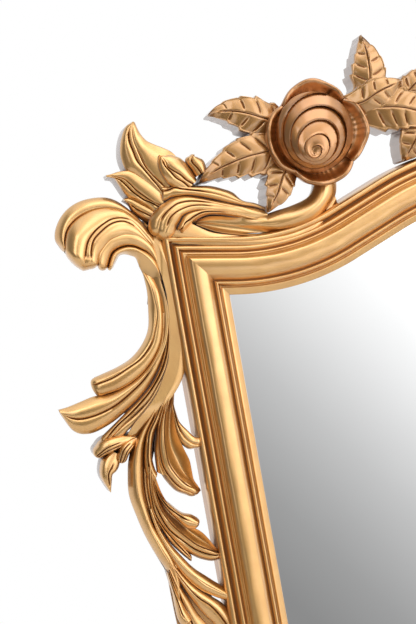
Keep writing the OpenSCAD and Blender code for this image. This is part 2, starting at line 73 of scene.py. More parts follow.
def catmull(points, per_span=12):
    """A smooth curve through rows of numbers; every column is interpolated."""
    p = np.asarray(points, float)
    p = np.vstack([2 * p[0] - p[1], p, 2 * p[-1] - p[-2]])
    rows = []
    for i in range(1, len(p) - 2):
        a, b, c, d = p[i - 1:i + 3]
        for t in np.arange(per_span) / per_span:
            rows.append(0.5 * (2 * b + (c - a) * t + (2 * a - 5 * b + 4 * c - d) * t * t
                               + (3 * b - a - 3 * c + d) * t ** 3))
    rows.append(p[-2])
    return np.array(rows)


def resample(rows, spacing):
    """Even steps along the curve, measured on its first two columns."""
    steps = np.linalg.norm(np.diff(rows[:, :2], axis=0), axis=1)
    length = np.concatenate([[0], np.cumsum(steps)])
    count = max(int(round(length[-1] / spacing)), 6) + 1
    at = np.linspace(0, length[-1], count)
    return np.column_stack([np.interp(at, length, rows[:, k]) for k in range(rows.shape[1])])


def normals_of(path):
    """Unit normals on the left of a 2-D path."""
    along = np.gradient(path, axis=0)
    along /= np.maximum(np.linalg.norm(along, axis=1), 1e-9)[:, None]
    return np.column_stack([-along[:, 1], along[:, 0]])


def ease(knots, at):
    """Smooth monotone interpolation between (position, value) knots."""
    x, y = np.array(knots, float).T
    at = np.clip(at, x[0], x[-1])
    dx = np.diff(x)
    slope = np.diff(y) / dx
    m = np.zeros_like(y)
    m[0] = slope[0]
    m[-1] = slope[-1]
    for i in range(1, len(y) - 1):
        if slope[i - 1] * slope[i] > 0:
            m[i] = 2 * slope[i - 1] * slope[i] / (slope[i - 1] + slope[i])
    k = np.clip(np.searchsorted(x, at, side="right") - 1, 0, len(dx) - 1)
    t = (at - x[k]) / dx[k]
    h = dx[k]
    return ((2 * t ** 3 - 3 * t ** 2 + 1) * y[k] + (t ** 3 - 2 * t ** 2 + t) * h * m[k]
            + (3 * t ** 2 - 2 * t ** 3) * y[k + 1] + (t ** 3 - t ** 2) * h * m[k + 1])


def bump_between(at, start, end, soft):
    """1 between start and end, with soft steps outside them."""
    rise = np.clip((at - start) / soft + 1, 0, 1)
    fall = np.clip((end - at) / soft + 1, 0, 1)
    both = np.minimum(rise, fall)
    return both * both * (3 - 2 * both)


# ---- Meshes ----

class Solid:
    """Collects vertices in millimetres, with a darkness value for patina and painted shade and a bare-wall
    value on each.

    Parts on the castings' back plane step back by a hair each, so no two backs coincide.
    """

    parts = 0
    back_step = 0.02
    back_steps = 50

    def __init__(self):
        self.verts = []
        self.faces = []
        self.dirt = []
        self.wall = []
        self.count = 0

    def add(self, verts, faces, dirt=None, wall=None, keep_back=False):
        """Takes one closed part; keep_back leaves its back on the plane."""
        n = len(verts)
        verts = np.array(verts, float)
        Solid.parts += 1
        if not keep_back:
            on_back = np.abs(verts[:, 1] - GLASS_BACK_Y + BACK_H) < 1e-6
            verts[on_back, 1] += self.back_step * (Solid.parts % self.back_steps)
        self.verts.append(verts)
        self.dirt.append(np.zeros(n) if dirt is None else np.asarray(dirt, float))
        self.wall.append(np.zeros(n) if wall is None else np.asarray(wall, float))
        self.faces.extend(tuple(int(i) + self.count for i in f) for f in faces)
        self.count += n

    def piece(self, name, body, slot, material, replaces=(), mirror=(1, 1, 1), crease=38):
        """Makes the Blender object; mirror holds -1 for every axis that is turned over."""
        mesh = bpy.data.meshes.new(name)
        mesh.from_pydata((np.vstack(self.verts) * mirror * MM).tolist(), [], self.faces)
        for label, values in (("dirt", self.dirt), ("wall", self.wall)):
            layer = mesh.attributes.new(label, "FLOAT", "POINT")
            layer.data.foreach_set("value", np.concatenate(values).astype(np.float32))
        mesh.validate()
        shell = bmesh.new()
        shell.from_mesh(mesh)
        bmesh.ops.recalc_face_normals(shell, faces=shell.faces)
        shell.to_mesh(mesh)
        shell.free()
        mesh.polygons.foreach_set("use_smooth", [True] * len(mesh.polygons))
        mesh.set_sharp_from_angle(angle=math.radians(crease))
        mesh.materials.append(material)
        obj = bpy.data.objects.new(name, mesh)
        bpy.context.scene.collection.objects.link(obj)
        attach(obj, body)
        if replaces:
            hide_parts(*replaces)
        return obj


def ring_faces(rings, n, closed_rings=False):
    """Quads between rings of n points each, every ring being a closed loop."""
    faces = []
    last = rings if closed_rings else rings - 1
    for i in range(last):
        a = i * n
        b = ((i + 1) % rings) * n
        for k in range(n):
            j = (k + 1) % n
            faces.append((a + k, b + k, b + j, a + j))
    return faces


def capped(rings, n):
    """Ring quads plus a polygon over each end."""
    faces = ring_faces(rings, n)
    faces.append(tuple(range(n)))
    faces.append(tuple(range(rings * n - 1, (rings - 1) * n - 1, -1)))
    return faces


def front_xyz(xz, h):
    """Places front-view points at height h in front of the glass's back."""
    h = np.broadcast_to(h, xz.shape[:-1])
    return np.stack([xz[..., 0], GLASS_BACK_Y - h, xz[..., 1]], axis=-1)


def turning(*runs):
    """A profile of [distance, radius] rows from smooth runs that meet in sharp corners."""
    return np.vstack([catmull(run, 4) if len(run) > 2 else np.array(run, float) for run in runs])


def turned(solid, profile, centre, axis="z", n=64, carve=None, bare=False):
    """Adds a turned shape: rows of [distance along the axis, radius] from its centre.

    The axis is z, x or inward (+x), outward (-x), y (-y, the front) or back (+y). carve takes
    distances and angles, and gives how deep the surface is cut and how dark it is.
    """
    rows = np.array(profile, float)
    angles = np.linspace(0, 2 * math.pi, n + 1)[None, :-1]
    run = rows[:, :1] + 0 * angles
    radius = rows[:, 1:] + 0 * angles
    dark = np.zeros_like(run)
    if carve:
        cut, dark = carve(run, angles + 0 * run)
        radius = radius - cut
    radius = np.maximum(radius, 0.1)
    a = radius * np.cos(angles)
    b = radius * np.sin(angles)
    x, y, z = centre
    if axis == "z":
        rings = [x + a, y + b, z + run]
    elif axis in ("x", "inward"):
        rings = [x + run, y + a, z + b]
    elif axis == "outward":
        rings = [x - run, y + a, z + b]
    elif axis == "back":
        rings = [x + a, y + run, z + b]
    else:
        rings = [x + a, y - run, z + b]
    rings = np.stack(rings, axis=-1)
    solid.add(rings.reshape(-1, 3), capped(len(rows), n), dark.ravel(),
              np.full(dark.size, float(bare)))


def block(solid, centre, half_x, half_y, levels):
    """Adds an upright block with rounded corners; levels are rows of [z, how far it is set in]."""
    corner = 3.0
    turn = np.linspace(0, math.pi / 2, 6)
    rings = []
    for z, inset in levels:
        ring = []
        for k in range(4):
            sx = 1 if k in (0, 3) else -1
            sy = 1 if k < 2 else -1
            for a in turn + k * math.pi / 2:
                ring.append([centre[0] + sx * (half_x - corner - inset) + corner * math.cos(a),
                             centre[1] + sy * (half_y - corner - inset) + corner * math.sin(a), z])
        rings.append(ring)
    verts = np.array(rings).reshape(-1, 3)
    solid.add(verts, capped(len(levels), len(rings[0])))


# ---- Carved relief ----

ROUND = [(-1, 0), (-0.88, 0.45), (-0.55, 0.84), (0, 1), (0.55, 0.84), (0.88, 0.45), (1, 0)]
FLAT = [(-1, 0), (-0.9, 0.55), (-0.6, 0.86), (0, 1), (0.6, 0.86), (0.9, 0.55), (1, 0)]

# Millimetres between the rows of a lobe and of a leaf, and rows to each span of a loft's rails.
LOBE_STEP = 1.4
LEAF_STEP = 0.9
LOFT_ROWS = 7
# How far a groove runs on past its ends, as a share of its lobe.
GROOVE_FADE = 0.06


def relief(solid, xz, height, dirt, last_wall, first_wall):
    """Adds a carved front, closed by a bare wall down to the back along each long edge.

    Each wall is (lip places, lip height, foot places), beside the last and the first column.
    """
    rings, columns = height.shape
    floor_h = np.full(rings, BACK_H)
    lip, lip_h, foot = last_wall
    last = [front_xyz(lip, lip_h), front_xyz(foot, floor_h)]
    lip, lip_h, foot = first_wall
    first = [front_xyz(foot, floor_h), front_xyz(lip, lip_h)]
    ring = np.concatenate([front_xyz(xz, height), np.stack(last + first, axis=1)], axis=1)
    marks = np.concatenate([dirt, np.zeros((rings, 4))], axis=1)
    walls = np.zeros_like(marks)
    walls[:, columns:] = 1
    solid.add(ring.reshape(-1, 3), capped(rings, columns + 4), marks.ravel(), walls.ravel())


def lobe(solid, points, crest, section=ROUND, edge=6.0, grooves=(), tip=None, across=22,
         origin=CORNER):
    """Adds one carved lobe: a band along points of [x, z, half width] with a section across it.

    A groove is (side at its start, side at its end, start, end, width, depth), where sides run
    from -1 to 1 across the lobe and start and end from 0 to 1 along it.
    """
    rows = resample(catmull(points), LOBE_STEP)
    path = rows[:, :2]
    width = np.maximum(rows[:, 2], 0.35)
    if tip == "round":
        tail = width[-1]
        along = path[-1] - path[-2]
        along /= np.linalg.norm(along)
        turns = np.linspace(0, math.pi / 2 * 0.96, 9)[1:]
        path = np.vstack([path, path[-1] + np.outer(np.sin(turns) * tail, along)])
        width = np.concatenate([width, tail * np.cos(turns)])
    steps = np.linalg.norm(np.diff(path, axis=0), axis=1)
    t = np.concatenate([[0], np.cumsum(steps)])
    t /= t[-1]
    mean_w = float(np.mean(width))
    v = list(np.linspace(-1, 1, across))
    for groove in grooves:
        middle = 0.5 * (groove[0] + groove[1])
        reach = abs(groove[1] - groove[0]) / 2 + 1.3 * groove[4] / mean_w
        v.extend(np.linspace(max(middle - reach, -0.97), min(middle + reach, 0.97), 9))
    v = np.unique(np.round(np.array(v), 3))
    edges = ease(edge, t) if isinstance(edge, (list, tuple)) else np.full_like(t, edge)
    crests = ease(crest, t) if isinstance(crest, (list, tuple)) else np.full_like(t, float(crest))
    if tip == "round":
        body = width / np.maximum.accumulate(width[::-1])[::-1].clip(1e-6)
        ending = np.clip(width / max(width[-9], 1e-6), 0, 1)
        ending[:-8] = 1
        crests = edges + (crests - edges) * np.sqrt(1 - (1 - ending) ** 2) * np.minimum(body, 1)
    shape = ease(section, v)
    height = edges[:, None] + (crests - edges)[:, None] * shape[None, :]
    dirt = np.zeros_like(height)
    for v0, v1, t0, t1, g_width, depth in grooves:
        line = v0 + (v1 - v0) * np.clip((t - t0) / max(t1 - t0, 1e-6), 0, 1)
        off = (v[None, :] - line[:, None]) * width[:, None]
        mask = np.exp(-(off / (0.5 * g_width)) ** 2) * bump_between(t, t0, t1, GROOVE_FADE)[:, None]
        height = height - depth * mask
        dirt = np.maximum(dirt, mask)
    normal = normals_of(path)
    xz = path[:, None, :] + normal[:, None, :] * (v[None, :, None] * width[:, None, None])
    walls = []
    for sign, column in ((1, -1), (-1, 0)):
        lip = path + normal * sign * (width + 0.25)[:, None] + origin
        foot = path + normal * sign * (width + 0.9)[:, None] + origin
        walls.append((lip, np.minimum(height[:, column], edges) - 0.9, foot))
    relief(solid, xz + origin, height, dirt, *walls)


# Places across one strand, closer together beside its grooves.
STRAND = np.array([0, 0.05, 0.12, 0.22, 0.36, 0.5, 0.64, 0.78, 0.88, 0.95])


def loft(solid, rails, heights, crowns, lines=(), start=(), end=(), start_low=6.0, end_low=6.0,
         darken_all=0.0, bridge=None, undercut=3.2):
    """Adds a carved surface over several rails, with a swelling strand between each two.

    heights are given for each rail, crowns for each strand, and lines are how deep and dark
    each inner rail's groove is. start and end round off groups of rails: (first, last, reach).
    bridge joins the grooves of two rails at a place along them: (first, last, place). The walls
    lean in by the undercut towards the back.
    """
    curves = np.array([catmull(rail, LOFT_ROWS) for rail in rails])
    count = curves.shape[1]
    t = np.linspace(0, 1, count)

    def along(value):
        return ease(value, t) if isinstance(value, list) else np.full(count, float(value))

    base = [along(h) for h in heights]
    columns = []
    levels = []
    places = []
    for i, crown in enumerate(crowns):
        swell = along(crown)
        for u in STRAND:
            columns.append(curves[i] * (1 - u) + curves[i + 1] * u)
            levels.append(base[i] * (1 - u) + base[i + 1] * u + swell * math.sin(math.pi * u) ** 0.75)
            places.append(i + u)
    columns.append(curves[-1])
    levels.append(base[-1])
    places.append(len(rails) - 1)
    xz = np.stack(columns, axis=1)
    height = np.stack(levels, axis=1)
    places = np.array(places)
    # The whole surface starts at this darkness; the webs use it for painted shade.
    dirt = np.full_like(height, darken_all)
    for j, line in enumerate(lines, 1):
        strength = along(line)[:, None]
        off = np.linalg.norm(xz - curves[j][:, None, :], axis=2)
        height = height - 1.0 * strength * np.exp(-(off / 0.62) ** 2)
        dirt = np.maximum(dirt, strength * np.exp(-(off / 0.55) ** 2))
    if bridge:
        first, last, place = bridge
        across = (places >= first) & (places <= last)
        mark = np.exp(-((t[:, None] - place) / 0.007) ** 2) * across
        height = height - 0.9 * mark
        dirt = np.maximum(dirt, mark)
    outward = []
    for edge, inside in ((0, 1), (-1, -2)):
        normal = normals_of(curves[edge])
        out = curves[edge] - curves[inside]
        outward.append(normal * np.sign((normal * out).sum()))
    for groups, low, row, step in ((start, start_low, 0, 1), (end, end_low, -1, -1)):
        if not groups:
            continue
        turns = np.linspace(0, math.pi / 2, 9)[1:]
        reach = np.zeros(xz.shape[1])
        aim = np.zeros_like(xz[0])
        for first, last, radius in groups:
            inside = (places >= first) & (places <= last)
            line = xz[row][inside]
            run = np.concatenate([[0], np.cumsum(np.linalg.norm(np.diff(line, axis=0), axis=1))])
            w = 2 * run / run[-1] - 1
            reach[inside] = np.maximum(reach[inside], radius * np.sqrt(np.maximum(1 - w * w, 0)))
            heading = (xz[row] - xz[row + 2 * step])[inside].mean(axis=0)
            aim[inside] = heading / np.linalg.norm(heading)
        extra_xz = np.array([xz[row] + aim * (reach * math.sin(a))[:, None] for a in turns])
        floor_h = np.minimum(height[row], low)
        extra_h = np.array([floor_h + (height[row] - floor_h) * math.cos(a) ** 0.9 for a in turns])
        extra_d = np.outer(np.cos(turns) ** 3, dirt[row])
        side = np.array([np.repeat(o[row][None], len(turns), axis=0) for o in outward])
        if row == 0:
            xz = np.concatenate([extra_xz[::-1], xz])
            height = np.concatenate([extra_h[::-1], height])
            dirt = np.concatenate([extra_d[::-1], dirt])
            outward = [np.concatenate([s, o]) for s, o in zip(side, outward)]
        else:
            xz = np.concatenate([xz, extra_xz])
            height = np.concatenate([height, extra_h])
            dirt = np.concatenate([dirt, extra_d])
            outward = [np.concatenate([o, s]) for s, o in zip(side, outward)]
    under = np.minimum(undercut, 0.3 * np.linalg.norm(xz[:, 0] - xz[:, -1], axis=1))[:, None]
    walls = []
    for column, out in ((-1, outward[1]), (0, outward[0])):
        edge = xz[:, column] + CORNER
        walls.append((edge + 0.25 * out, height[:, column] - 0.9, edge - under * out))
    relief(solid, xz + CORNER, height, dirt, *walls)


def leaf(solid, points, crest, veins=4, sweep=0.25, bite=0.16, fold=3.0, origin=CORNER, seed=1):
    """Adds a folded leaf with coarse teeth, a midrib and a few side veins."""
    chance = np.random.default_rng(seed)
    rows = resample(catmull(points), LEAF_STEP)
    s = np.linspace(0, 1, len(rows))
    t = np.linspace(0, 1, veins * 22 + 1)
    v = np.linspace(-1, 1, 45)
    a = np.abs(v)
    swept = t[:, None] + sweep * a[None, :] ** 1.2 * (1 - t[:, None]) * np.clip(t[:, None] * 4, 0, 1)
    normal_rows = normals_of(rows[:, :2])
    centre = np.stack([np.interp(swept, s, rows[:, k]) for k in (0, 1)], axis=-1)
    normal = np.stack([np.interp(swept, s, normal_rows[:, k]) for k in (0, 1)], axis=-1)
    width = np.interp(swept, s, rows[:, 2])
    height = np.zeros((len(t), len(v)))
    dirt = np.zeros_like(height)
    keep = np.ones_like(height)
    crests = (ease(crest, t) if isinstance(crest, list) else np.full(len(t), float(crest)))[:, None]
    for side in (-1, 1):
        half = (v * side > 0) if side > 0 else (v <= 0)
        shift = chance.uniform(0, 0.5)
        phase = t * veins + shift
        tooth = phase - np.floor(phase)
        size = chance.uniform(0.35, 1.3, veins + 2)[np.floor(phase).astype(int)]
        rise = np.where(tooth > 0.86, (1 - tooth) / 0.14, np.clip(tooth * 1.16, 0, 1) ** 1.3)
        cut = bite * size * (1 - rise) * np.clip(t * 8, 0, 1)
        keep[:, half] = 1 - cut[:, None] * a[None, half] ** 3
        near = np.minimum(tooth, 1 - tooth)[:, None] / veins * len(rows) * LEAF_STEP
        dash = np.clip((a[None, half] - 0.12) / 0.15, 0, 1) * np.clip((0.8 - a[None, half]) / 0.15, 0, 1)
        gate = np.clip((0.86 - t[:, None]) * 8, 0, 1)
        vein = np.exp(-(near / 0.7) ** 2) * dash * gate
        swell = np.sin(math.pi * tooth)[:, None] * np.sin(math.pi * a[None, half]) * gate
        height[:, half] += 0.7 * swell - 0.9 * vein
        dirt[:, half] = 0.8 * vein
    xz = centre + normal * (v[None, :, None] * (width * keep)[:, :, None])
    rim = np.exp(-((a - 0.93) / 0.05) ** 2)[None, :]
    height += crests - fold * (1 - (1 - a[None, :]) ** 1.5) + 0.6 * rim
    height -= 1.2 * np.clip((a - 0.96) / 0.04, 0, 1)[None, :]
    rib = np.exp(-(v[None, :] * width / 0.75) ** 2) * np.clip((0.94 - t[:, None]) * 8, 0, 1)
    height -= 1.3 * rib
    dirt = np.maximum(dirt, rib)
    walls = []
    for column in (-1, 0):
        edge = xz[:, column] + origin
        walls.append((edge, height[:, column] - 1.2, edge))
    relief(solid, xz + origin, height, dirt, *walls)


# ---- Materials ----

# Gold leaf, the amber and umber of its patina and of painted shade in the hollows, and the bare casting
# behind.
GOLD = (0.67, 0.38, 0.12)
AMBER = (0.40, 0.175, 0.05)
UMBER = (0.045, 0.018, 0.008)
BARE = (0.46, 0.39, 0.36)


class Nodes:
    """Short calls for building a node material."""

    def __init__(self, name):
        self.material = bpy.data.materials.new(name)
        self.material.use_nodes = True
        self.tree = self.material.node_tree
        self.shader = self.tree.nodes["Principled BSDF"]

    def new(self, kind, **values):
        node = self.tree.nodes.new(kind)
        for key, value in values.items():
            setattr(node, key, value)
        return node

    def link(self, out, into):
        self.tree.links.new(out, into)

    def attribute(self, name):
        return self.new("ShaderNodeAttribute", attribute_name=name).outputs["Fac"]

    def noise(self, scale, detail=3.0, roughness=0.5, stretch=(1, 1, 1)):
        coords = self.new("ShaderNodeTexCoord")
        mapping = self.new("ShaderNodeMapping")
        mapping.inputs["Scale"].default_value = stretch
        self.link(coords.outputs["Object"], mapping.inputs["Vector"])
        node = self.new("ShaderNodeTexNoise")
        node.inputs["Scale"].default_value = scale
        node.inputs["Detail"].default_value = detail
        node.inputs["Roughness"].default_value = roughness
        self.link(mapping.outputs["Vector"], node.inputs["Vector"])
        return node.outputs["Fac"]

    def math(self, operation, a, b=0.5, clamp=False):
        node = self.new("ShaderNodeMath", operation=operation, use_clamp=clamp)
        for socket, value in zip(node.inputs, (a, b)):
            if isinstance(value, (int, float)):
                socket.default_value = value
            else:
                self.link(value, socket)
        return node.outputs[0]

    def spread(self, value, low, high, to_low=0.0, to_high=1.0):
        node = self.new("ShaderNodeMapRange", clamp=True)
        for key, number in (("From Min", low), ("From Max", high), ("To Min", to_low),
                            ("To Max", to_high)):
            node.inputs[key].default_value = number
        self.link(value, node.inputs["Value"])
        return node.outputs["Result"]

    def mix(self, factor, a, b):
        node = self.new("ShaderNodeMix", data_type="RGBA")
        self.link(factor, node.inputs[0])
        for socket, value in ((node.inputs[6], a), (node.inputs[7], b)):
            if isinstance(value, tuple):
                socket.default_value = (*value, 1)
            else:
                self.link(value, socket)
        return node.outputs[2]

    def set(self, **values):
        for key, value in values.items():
            self.shader.inputs[key.replace("_", " ")].default_value = value

    def bump(self, height, strength, distance):
        node = self.new("ShaderNodeBump")
        node.inputs["Strength"].default_value = strength
        node.inputs["Distance"].default_value = distance
        self.link(height, node.inputs["Height"])
        self.link(node.outputs["Normal"], self.shader.inputs["Normal"])


def gilt(name, patina_and_occlusion_shade=1.0, rough=0.34, gold=GOLD, reach=0.012):
    """Antique gold leaf: bright on the high places, amber and umber patina and painted shade in the hollows.
    """
    n = Nodes(name)
    # Ambient occlusion darkens hollows and the gaps between parts: partly patina, partly painted shade.
    occlusion = n.new("ShaderNodeAmbientOcclusion", samples=6)
    occlusion.inputs["Distance"].default_value = reach
    shut = n.math("SUBTRACT", 1.0, occlusion.outputs["AO"])
    patches = n.noise(60, 4)
    grain = n.noise(900, 2)
    hollow = n.math("MULTIPLY", n.spread(shut, 0.45, 1.0), patina_and_occlusion_shade)
    hollow = n.math("ADD", hollow, n.math("MULTIPLY", n.math("SUBTRACT", patches, 0.5), 0.25))
    # The vertices' darkness value: patina in the grooves, painted shade in gaps and under overlaps.
    lines = n.attribute("dirt")
    dirt = n.math("MAXIMUM", hollow, n.math("MULTIPLY", lines, 0.95), clamp=True)
    dull = tuple(c * k for c, k in zip(gold, (0.92, 0.86, 0.8)))
    worn = n.mix(n.spread(patches, 0.35, 0.75), gold, dull)
    warm = n.mix(n.spread(dirt, 0.12, 0.5), worn, AMBER)
    dark = n.mix(n.spread(dirt, 0.5, 0.92), warm, UMBER)
    wall = n.attribute("wall")
    bare = n.spread(wall, 0.45, 0.55)
    colour = n.mix(bare, dark, BARE)
    n.link(colour, n.shader.inputs["Base Color"])
    metal = n.math("MULTIPLY", n.spread(dirt, 0.45, 0.95, 1.0, 0.35), n.math("SUBTRACT", 1.0, bare))
    n.link(metal, n.shader.inputs["Metallic"])
    base_rough = n.spread(dirt, 0.2, 0.9, rough, 0.5)
    varied = n.math("ADD", base_rough, n.math("MULTIPLY", n.math("SUBTRACT", patches, 0.5), 0.12))
    n.link(n.math("ADD", varied, n.math("MULTIPLY", bare, 0.25)), n.shader.inputs["Roughness"])
    n.link(n.spread(dirt, 0.25, 0.8, 0.8, 0.0), n.shader.inputs["Coat Weight"])
    n.link(n.spread(dirt, 0.5, 0.9, 0.5, 0.1), n.shader.inputs["Specular IOR Level"])
    n.set(Coat_Roughness=0.15, Coat_IOR=1.85)
    texture = n.math("ADD", n.math("MULTIPLY", patches, 0.8), n.math("MULTIPLY", grain, 0.12))
    n.bump(texture, 0.25, 0.0012)
    return n.material


def mirror_glass():
    n = Nodes("silvered_glass")
    haze = n.noise(14, 2)
    n.link(n.mix(haze, (0.90, 0.905, 0.91), (0.93, 0.935, 0.935)), n.shader.inputs["Base Color"])
    n.link(n.spread(haze, 0.3, 0.7, 0.006, 0.014), n.shader.inputs["Roughness"])
    n.set(Metallic=1.0)
    return n.material


def hardboard():
    n = Nodes("hardboard")
    fibre = n.noise(420, 4, 0.6, (1, 1, 0.5))
    n.link(n.mix(fibre, (0.19, 0.11, 0.055), (0.36, 0.23, 0.12)), n.shader.inputs["Base Color"])
    n.link(n.spread(fibre, 0.3, 0.7, 0.6, 0.8), n.shader.inputs["Roughness"])
    n.bump(fibre, 0.3, 0.0006)
    return n.material


def foam():
    n = Nodes("foam")
    cells = n.noise(900, 3)
    n.link(n.mix(cells, (0.72, 0.71, 0.68), (0.82, 0.81, 0.78)), n.shader.inputs["Base Color"])
    n.set(Roughness=0.9)
    n.bump(cells, 0.4, 0.0005)
    return n.material


def zinc():
    n = Nodes("zinc")
    brush = n.noise(300, 3, 0.6, (1, 1, 12))
    n.link(n.mix(brush, (0.5, 0.51, 0.53), (0.68, 0.69, 0.71)), n.shader.inputs["Base Color"])
    n.link(n.spread(brush, 0.3, 0.7, 0.28, 0.45), n.shader.inputs["Roughness"])
    n.set(Metallic=1.0)
    n.bump(brush, 0.15, 0.0003)
    return n.material


def brass():
    n = Nodes("brass")
    tarnish = n.noise(90, 4)
    n.link(n.mix(tarnish, (0.66, 0.43, 0.15), (0.82, 0.58, 0.24)), n.shader.inputs["Base Color"])
    n.link(n.spread(tarnish, 0.3, 0.7, 0.18, 0.32), n.shader.inputs["Roughness"])
    n.set(Metallic=1.0)
    n.bump(tarnish, 0.08, 0.0004)
    return n.material


def felt():
    n = Nodes("felt")
    fuzz = n.noise(1400, 4, 0.7)
    n.link(n.mix(fuzz, (0.02, 0.017, 0.014), (0.07, 0.06, 0.05)), n.shader.inputs["Base Color"])
    n.set(Roughness=0.95, Sheen_Weight=0.4)
    n.bump(fuzz, 0.6, 0.0008)
    return n.material


GILT_CAST = gilt("gilt_castings")
# Leaves and roses take darker copies of the same gold: painted shade.
GILT_LEAF = gilt("gilt_leaves", rough=0.38, gold=(0.42, 0.21, 0.055))
GILT_ROSE = gilt("gilt_roses", patina_and_occlusion_shade=0.8, gold=(0.42, 0.185, 0.045))
GILT_RAIL = gilt("gilt_moulding", patina_and_occlusion_shade=0.5, rough=0.32, reach=0.006)
GILT_STAND = gilt("gilt_stand", patina_and_occlusion_shade=0.8, rough=0.4)


# ---- Castings: places are [x, z] in mm from the glass's top left corner ----

MIDDLE = np.array([0.0, 0.0])
FLIP = (-1, 1, 1)
SIDES = (("left", (1, 1, 1)), ("right", FLIP))


def backing_disc(solid, x, z, radius):
    """The pad that a rose stands on, with a bare back."""
    turned(solid, [[BACK_H, radius - 1], [BACK_H + 1, radius], [6, radius], [8, radius - 2]],
           (x, GLASS_BACK_Y, z), "y", bare=True)


def corner_scroll():
    s = Solid()
    # dark web behind the strands of the lower turn: a sheet of painted shade
    loft(s, [[[-52, 20], [-50, -10], [-50, -50], [-56, -76], [-68, -92], [-80, -100]],
             [[-62, 10], [-60, -20], [-64, -46], [-76, -62], [-88, -70], [-98, -78]]],
         heights=[4, 4], crowns=[0], darken_all=1)
    loft(s, [[[-60, -78], [-66, -92], [-76, -102], [-88, -111]],
             [[-74, -82], [-82, -92], [-90, -102], [-97, -110]]],
         heights=[4, 4], crowns=[0], darken_all=0.8)
    # the upper turn: rim, bulb, hairpin, two inner strands and the lip
    outer = [[-136, 36], [-140, 43], [-139, 53], [-133, 64], [-123, 72], [-110, 76], [-97, 76],
             [-85, 70], [-71, 58], [-60, 46], [-52, 32]]
    rim = [[-133, 35], [-133, 42], [-131, 50], [-126, 57], [-118, 63], [-108, 67], [-96, 68],
           [-84, 65], [-72, 56], [-61, 43], [-53, 30]]
    pin_a = [[-118, 26], [-117, 35], [-115, 42], [-110, 49], [-103, 55], [-96, 59], [-87, 60],
             [-79, 57], [-71, 49], [-61, 37], [-54, 25]]
    pin_b = [[-113, 26], [-113, 34], [-111, 42], [-106, 48], [-99, 54], [-92, 57], [-85, 57],
             [-77, 53], [-70, 46], [-60, 35], [-54, 23]]
    fold = [[-107, 24], [-106, 31], [-103, 36], [-98, 42], [-92, 45], [-85, 47], [-76, 46], [-70, 43],
            [-64, 37], [-59, 29], [-54, 18]]
    crease = [[-99, 22], [-97, 29], [-95, 33], [-91, 36], [-85, 38], [-79, 38], [-73, 36], [-67, 33],
              [-62, 28], [-57, 19], [-54, 10]]
    ridge = [[-96, 22], [-94, 28], [-91, 32], [-86, 34], [-81, 35], [-76, 34], [-71, 31], [-65, 26],
             [-60, 20], [-56, 10], [-53, 0]]
    inner = [[-93, 24], [-91, 28], [-89, 31], [-85, 32], [-80, 31], [-76, 29], [-73, 22], [-70, 16],
             [-68, 9], [-66, 1], [-66, -8]]
    loft(s, [outer, rim, pin_a, pin_b, fold, crease, ridge, inner],
         heights=[[(0, 9), (0.3, 9), (0.7, 8), (1, 4)],
                  [(0, 19), (0.3, 15), (0.6, 13.5), (0.85, 12.5), (1, 8)],
                  [(0, 24), (0.25, 22), (0.6, 17), (0.85, 13.5), (1, 8)],
                  [(0, 24), (0.25, 22), (0.6, 17), (0.85, 13.5), (1, 8)],
                  [(0, 20), (0.3, 19), (0.7, 15.5), (0.85, 13.5), (1, 8)],
                  [(0, 15), (0.3, 14), (0.7, 13.5), (0.85, 13), (1, 8)],
                  [(0, 17), (0.3, 16), (0.7, 16), (0.85, 14.5), (1, 8)],
                  [(0, 8), (0.5, 8), (0.8, 6), (1, 3)]],
         crowns=[[(0, 3), (0.4, 3), (0.8, 1), (1, 0)],
                 [(0, 5), (0.15, 5), (0.4, 2.5), (0.8, 1), (1, 0)],
                 [(0, 0.2), (0.5, 0.6), (0.7, 0), (1, 0)], [(0, 1.2), (0.3, 2), (0.75, 0.6), (1, 0)],
                 [(0, 2), (0.5, 2), (0.8, 0.6), (1, 0)], [(0, 1), (0.6, 1), (1, 0)],
                 [(0, 1), (0.4, 1), (0.7, -1), (1, -2.5)]],
         lines=[[(0, 0.5), (0.1, 1), (0.35, 0.6), (0.5, 0), (1, 0)],
                [(0, 0), (0.03, 0), (0.04, 1), (0.6, 1), (0.68, 0), (1, 0)],
                [(0, 0), (0.03, 0), (0.04, 1), (0.62, 1), (0.7, 0), (1, 0)], [(0, 0.4), (0.1, 0), (1, 0)],
                [(0, 0.9), (0.6, 0.9), (0.8, 0.3), (1, 0)], 0],
         start=[(0, 1, 2.5), (1, 4, 8), (4, 5, 4.5), (5, 7, 3.5)], start_low=11, bridge=(2, 3, 0.035))
    # the flat outer band of the lower turn
    loft(s, [[[-70, 59], [-59, 46], [-51, 32], [-44, 14], [-40, -5], [-37, -24], [-36, -42],
              [-37, -59], [-42, -73], [-52, -88], [-63, -101], [-72, -111]],
             [[-68, 50], [-58, 36], [-52, 23], [-47, 6], [-43, -10], [-41, -27], [-41, -42],
              [-43, -57], [-47, -71], [-56, -86], [-67, -99], [-75, -109]],
             [[-63, 31], [-57, 17], [-53, 3], [-51, -10], [-50, -25], [-50, -39], [-51, -53],
              [-55, -66], [-60, -79], [-68, -91], [-77, -102], [-82, -110]]],
         heights=[[(0, 6), (0.12, 12.6), (0.8, 11.2), (1, 6)],
                  [(0, 11), (0.12, 14.4), (0.8, 12.8), (1, 9)],
                  [(0, 12), (0.12, 14.6), (0.8, 13.2), (1, 9)]],
         crowns=[0.3, 0], lines=[0], end=[(0, 2, 5)])
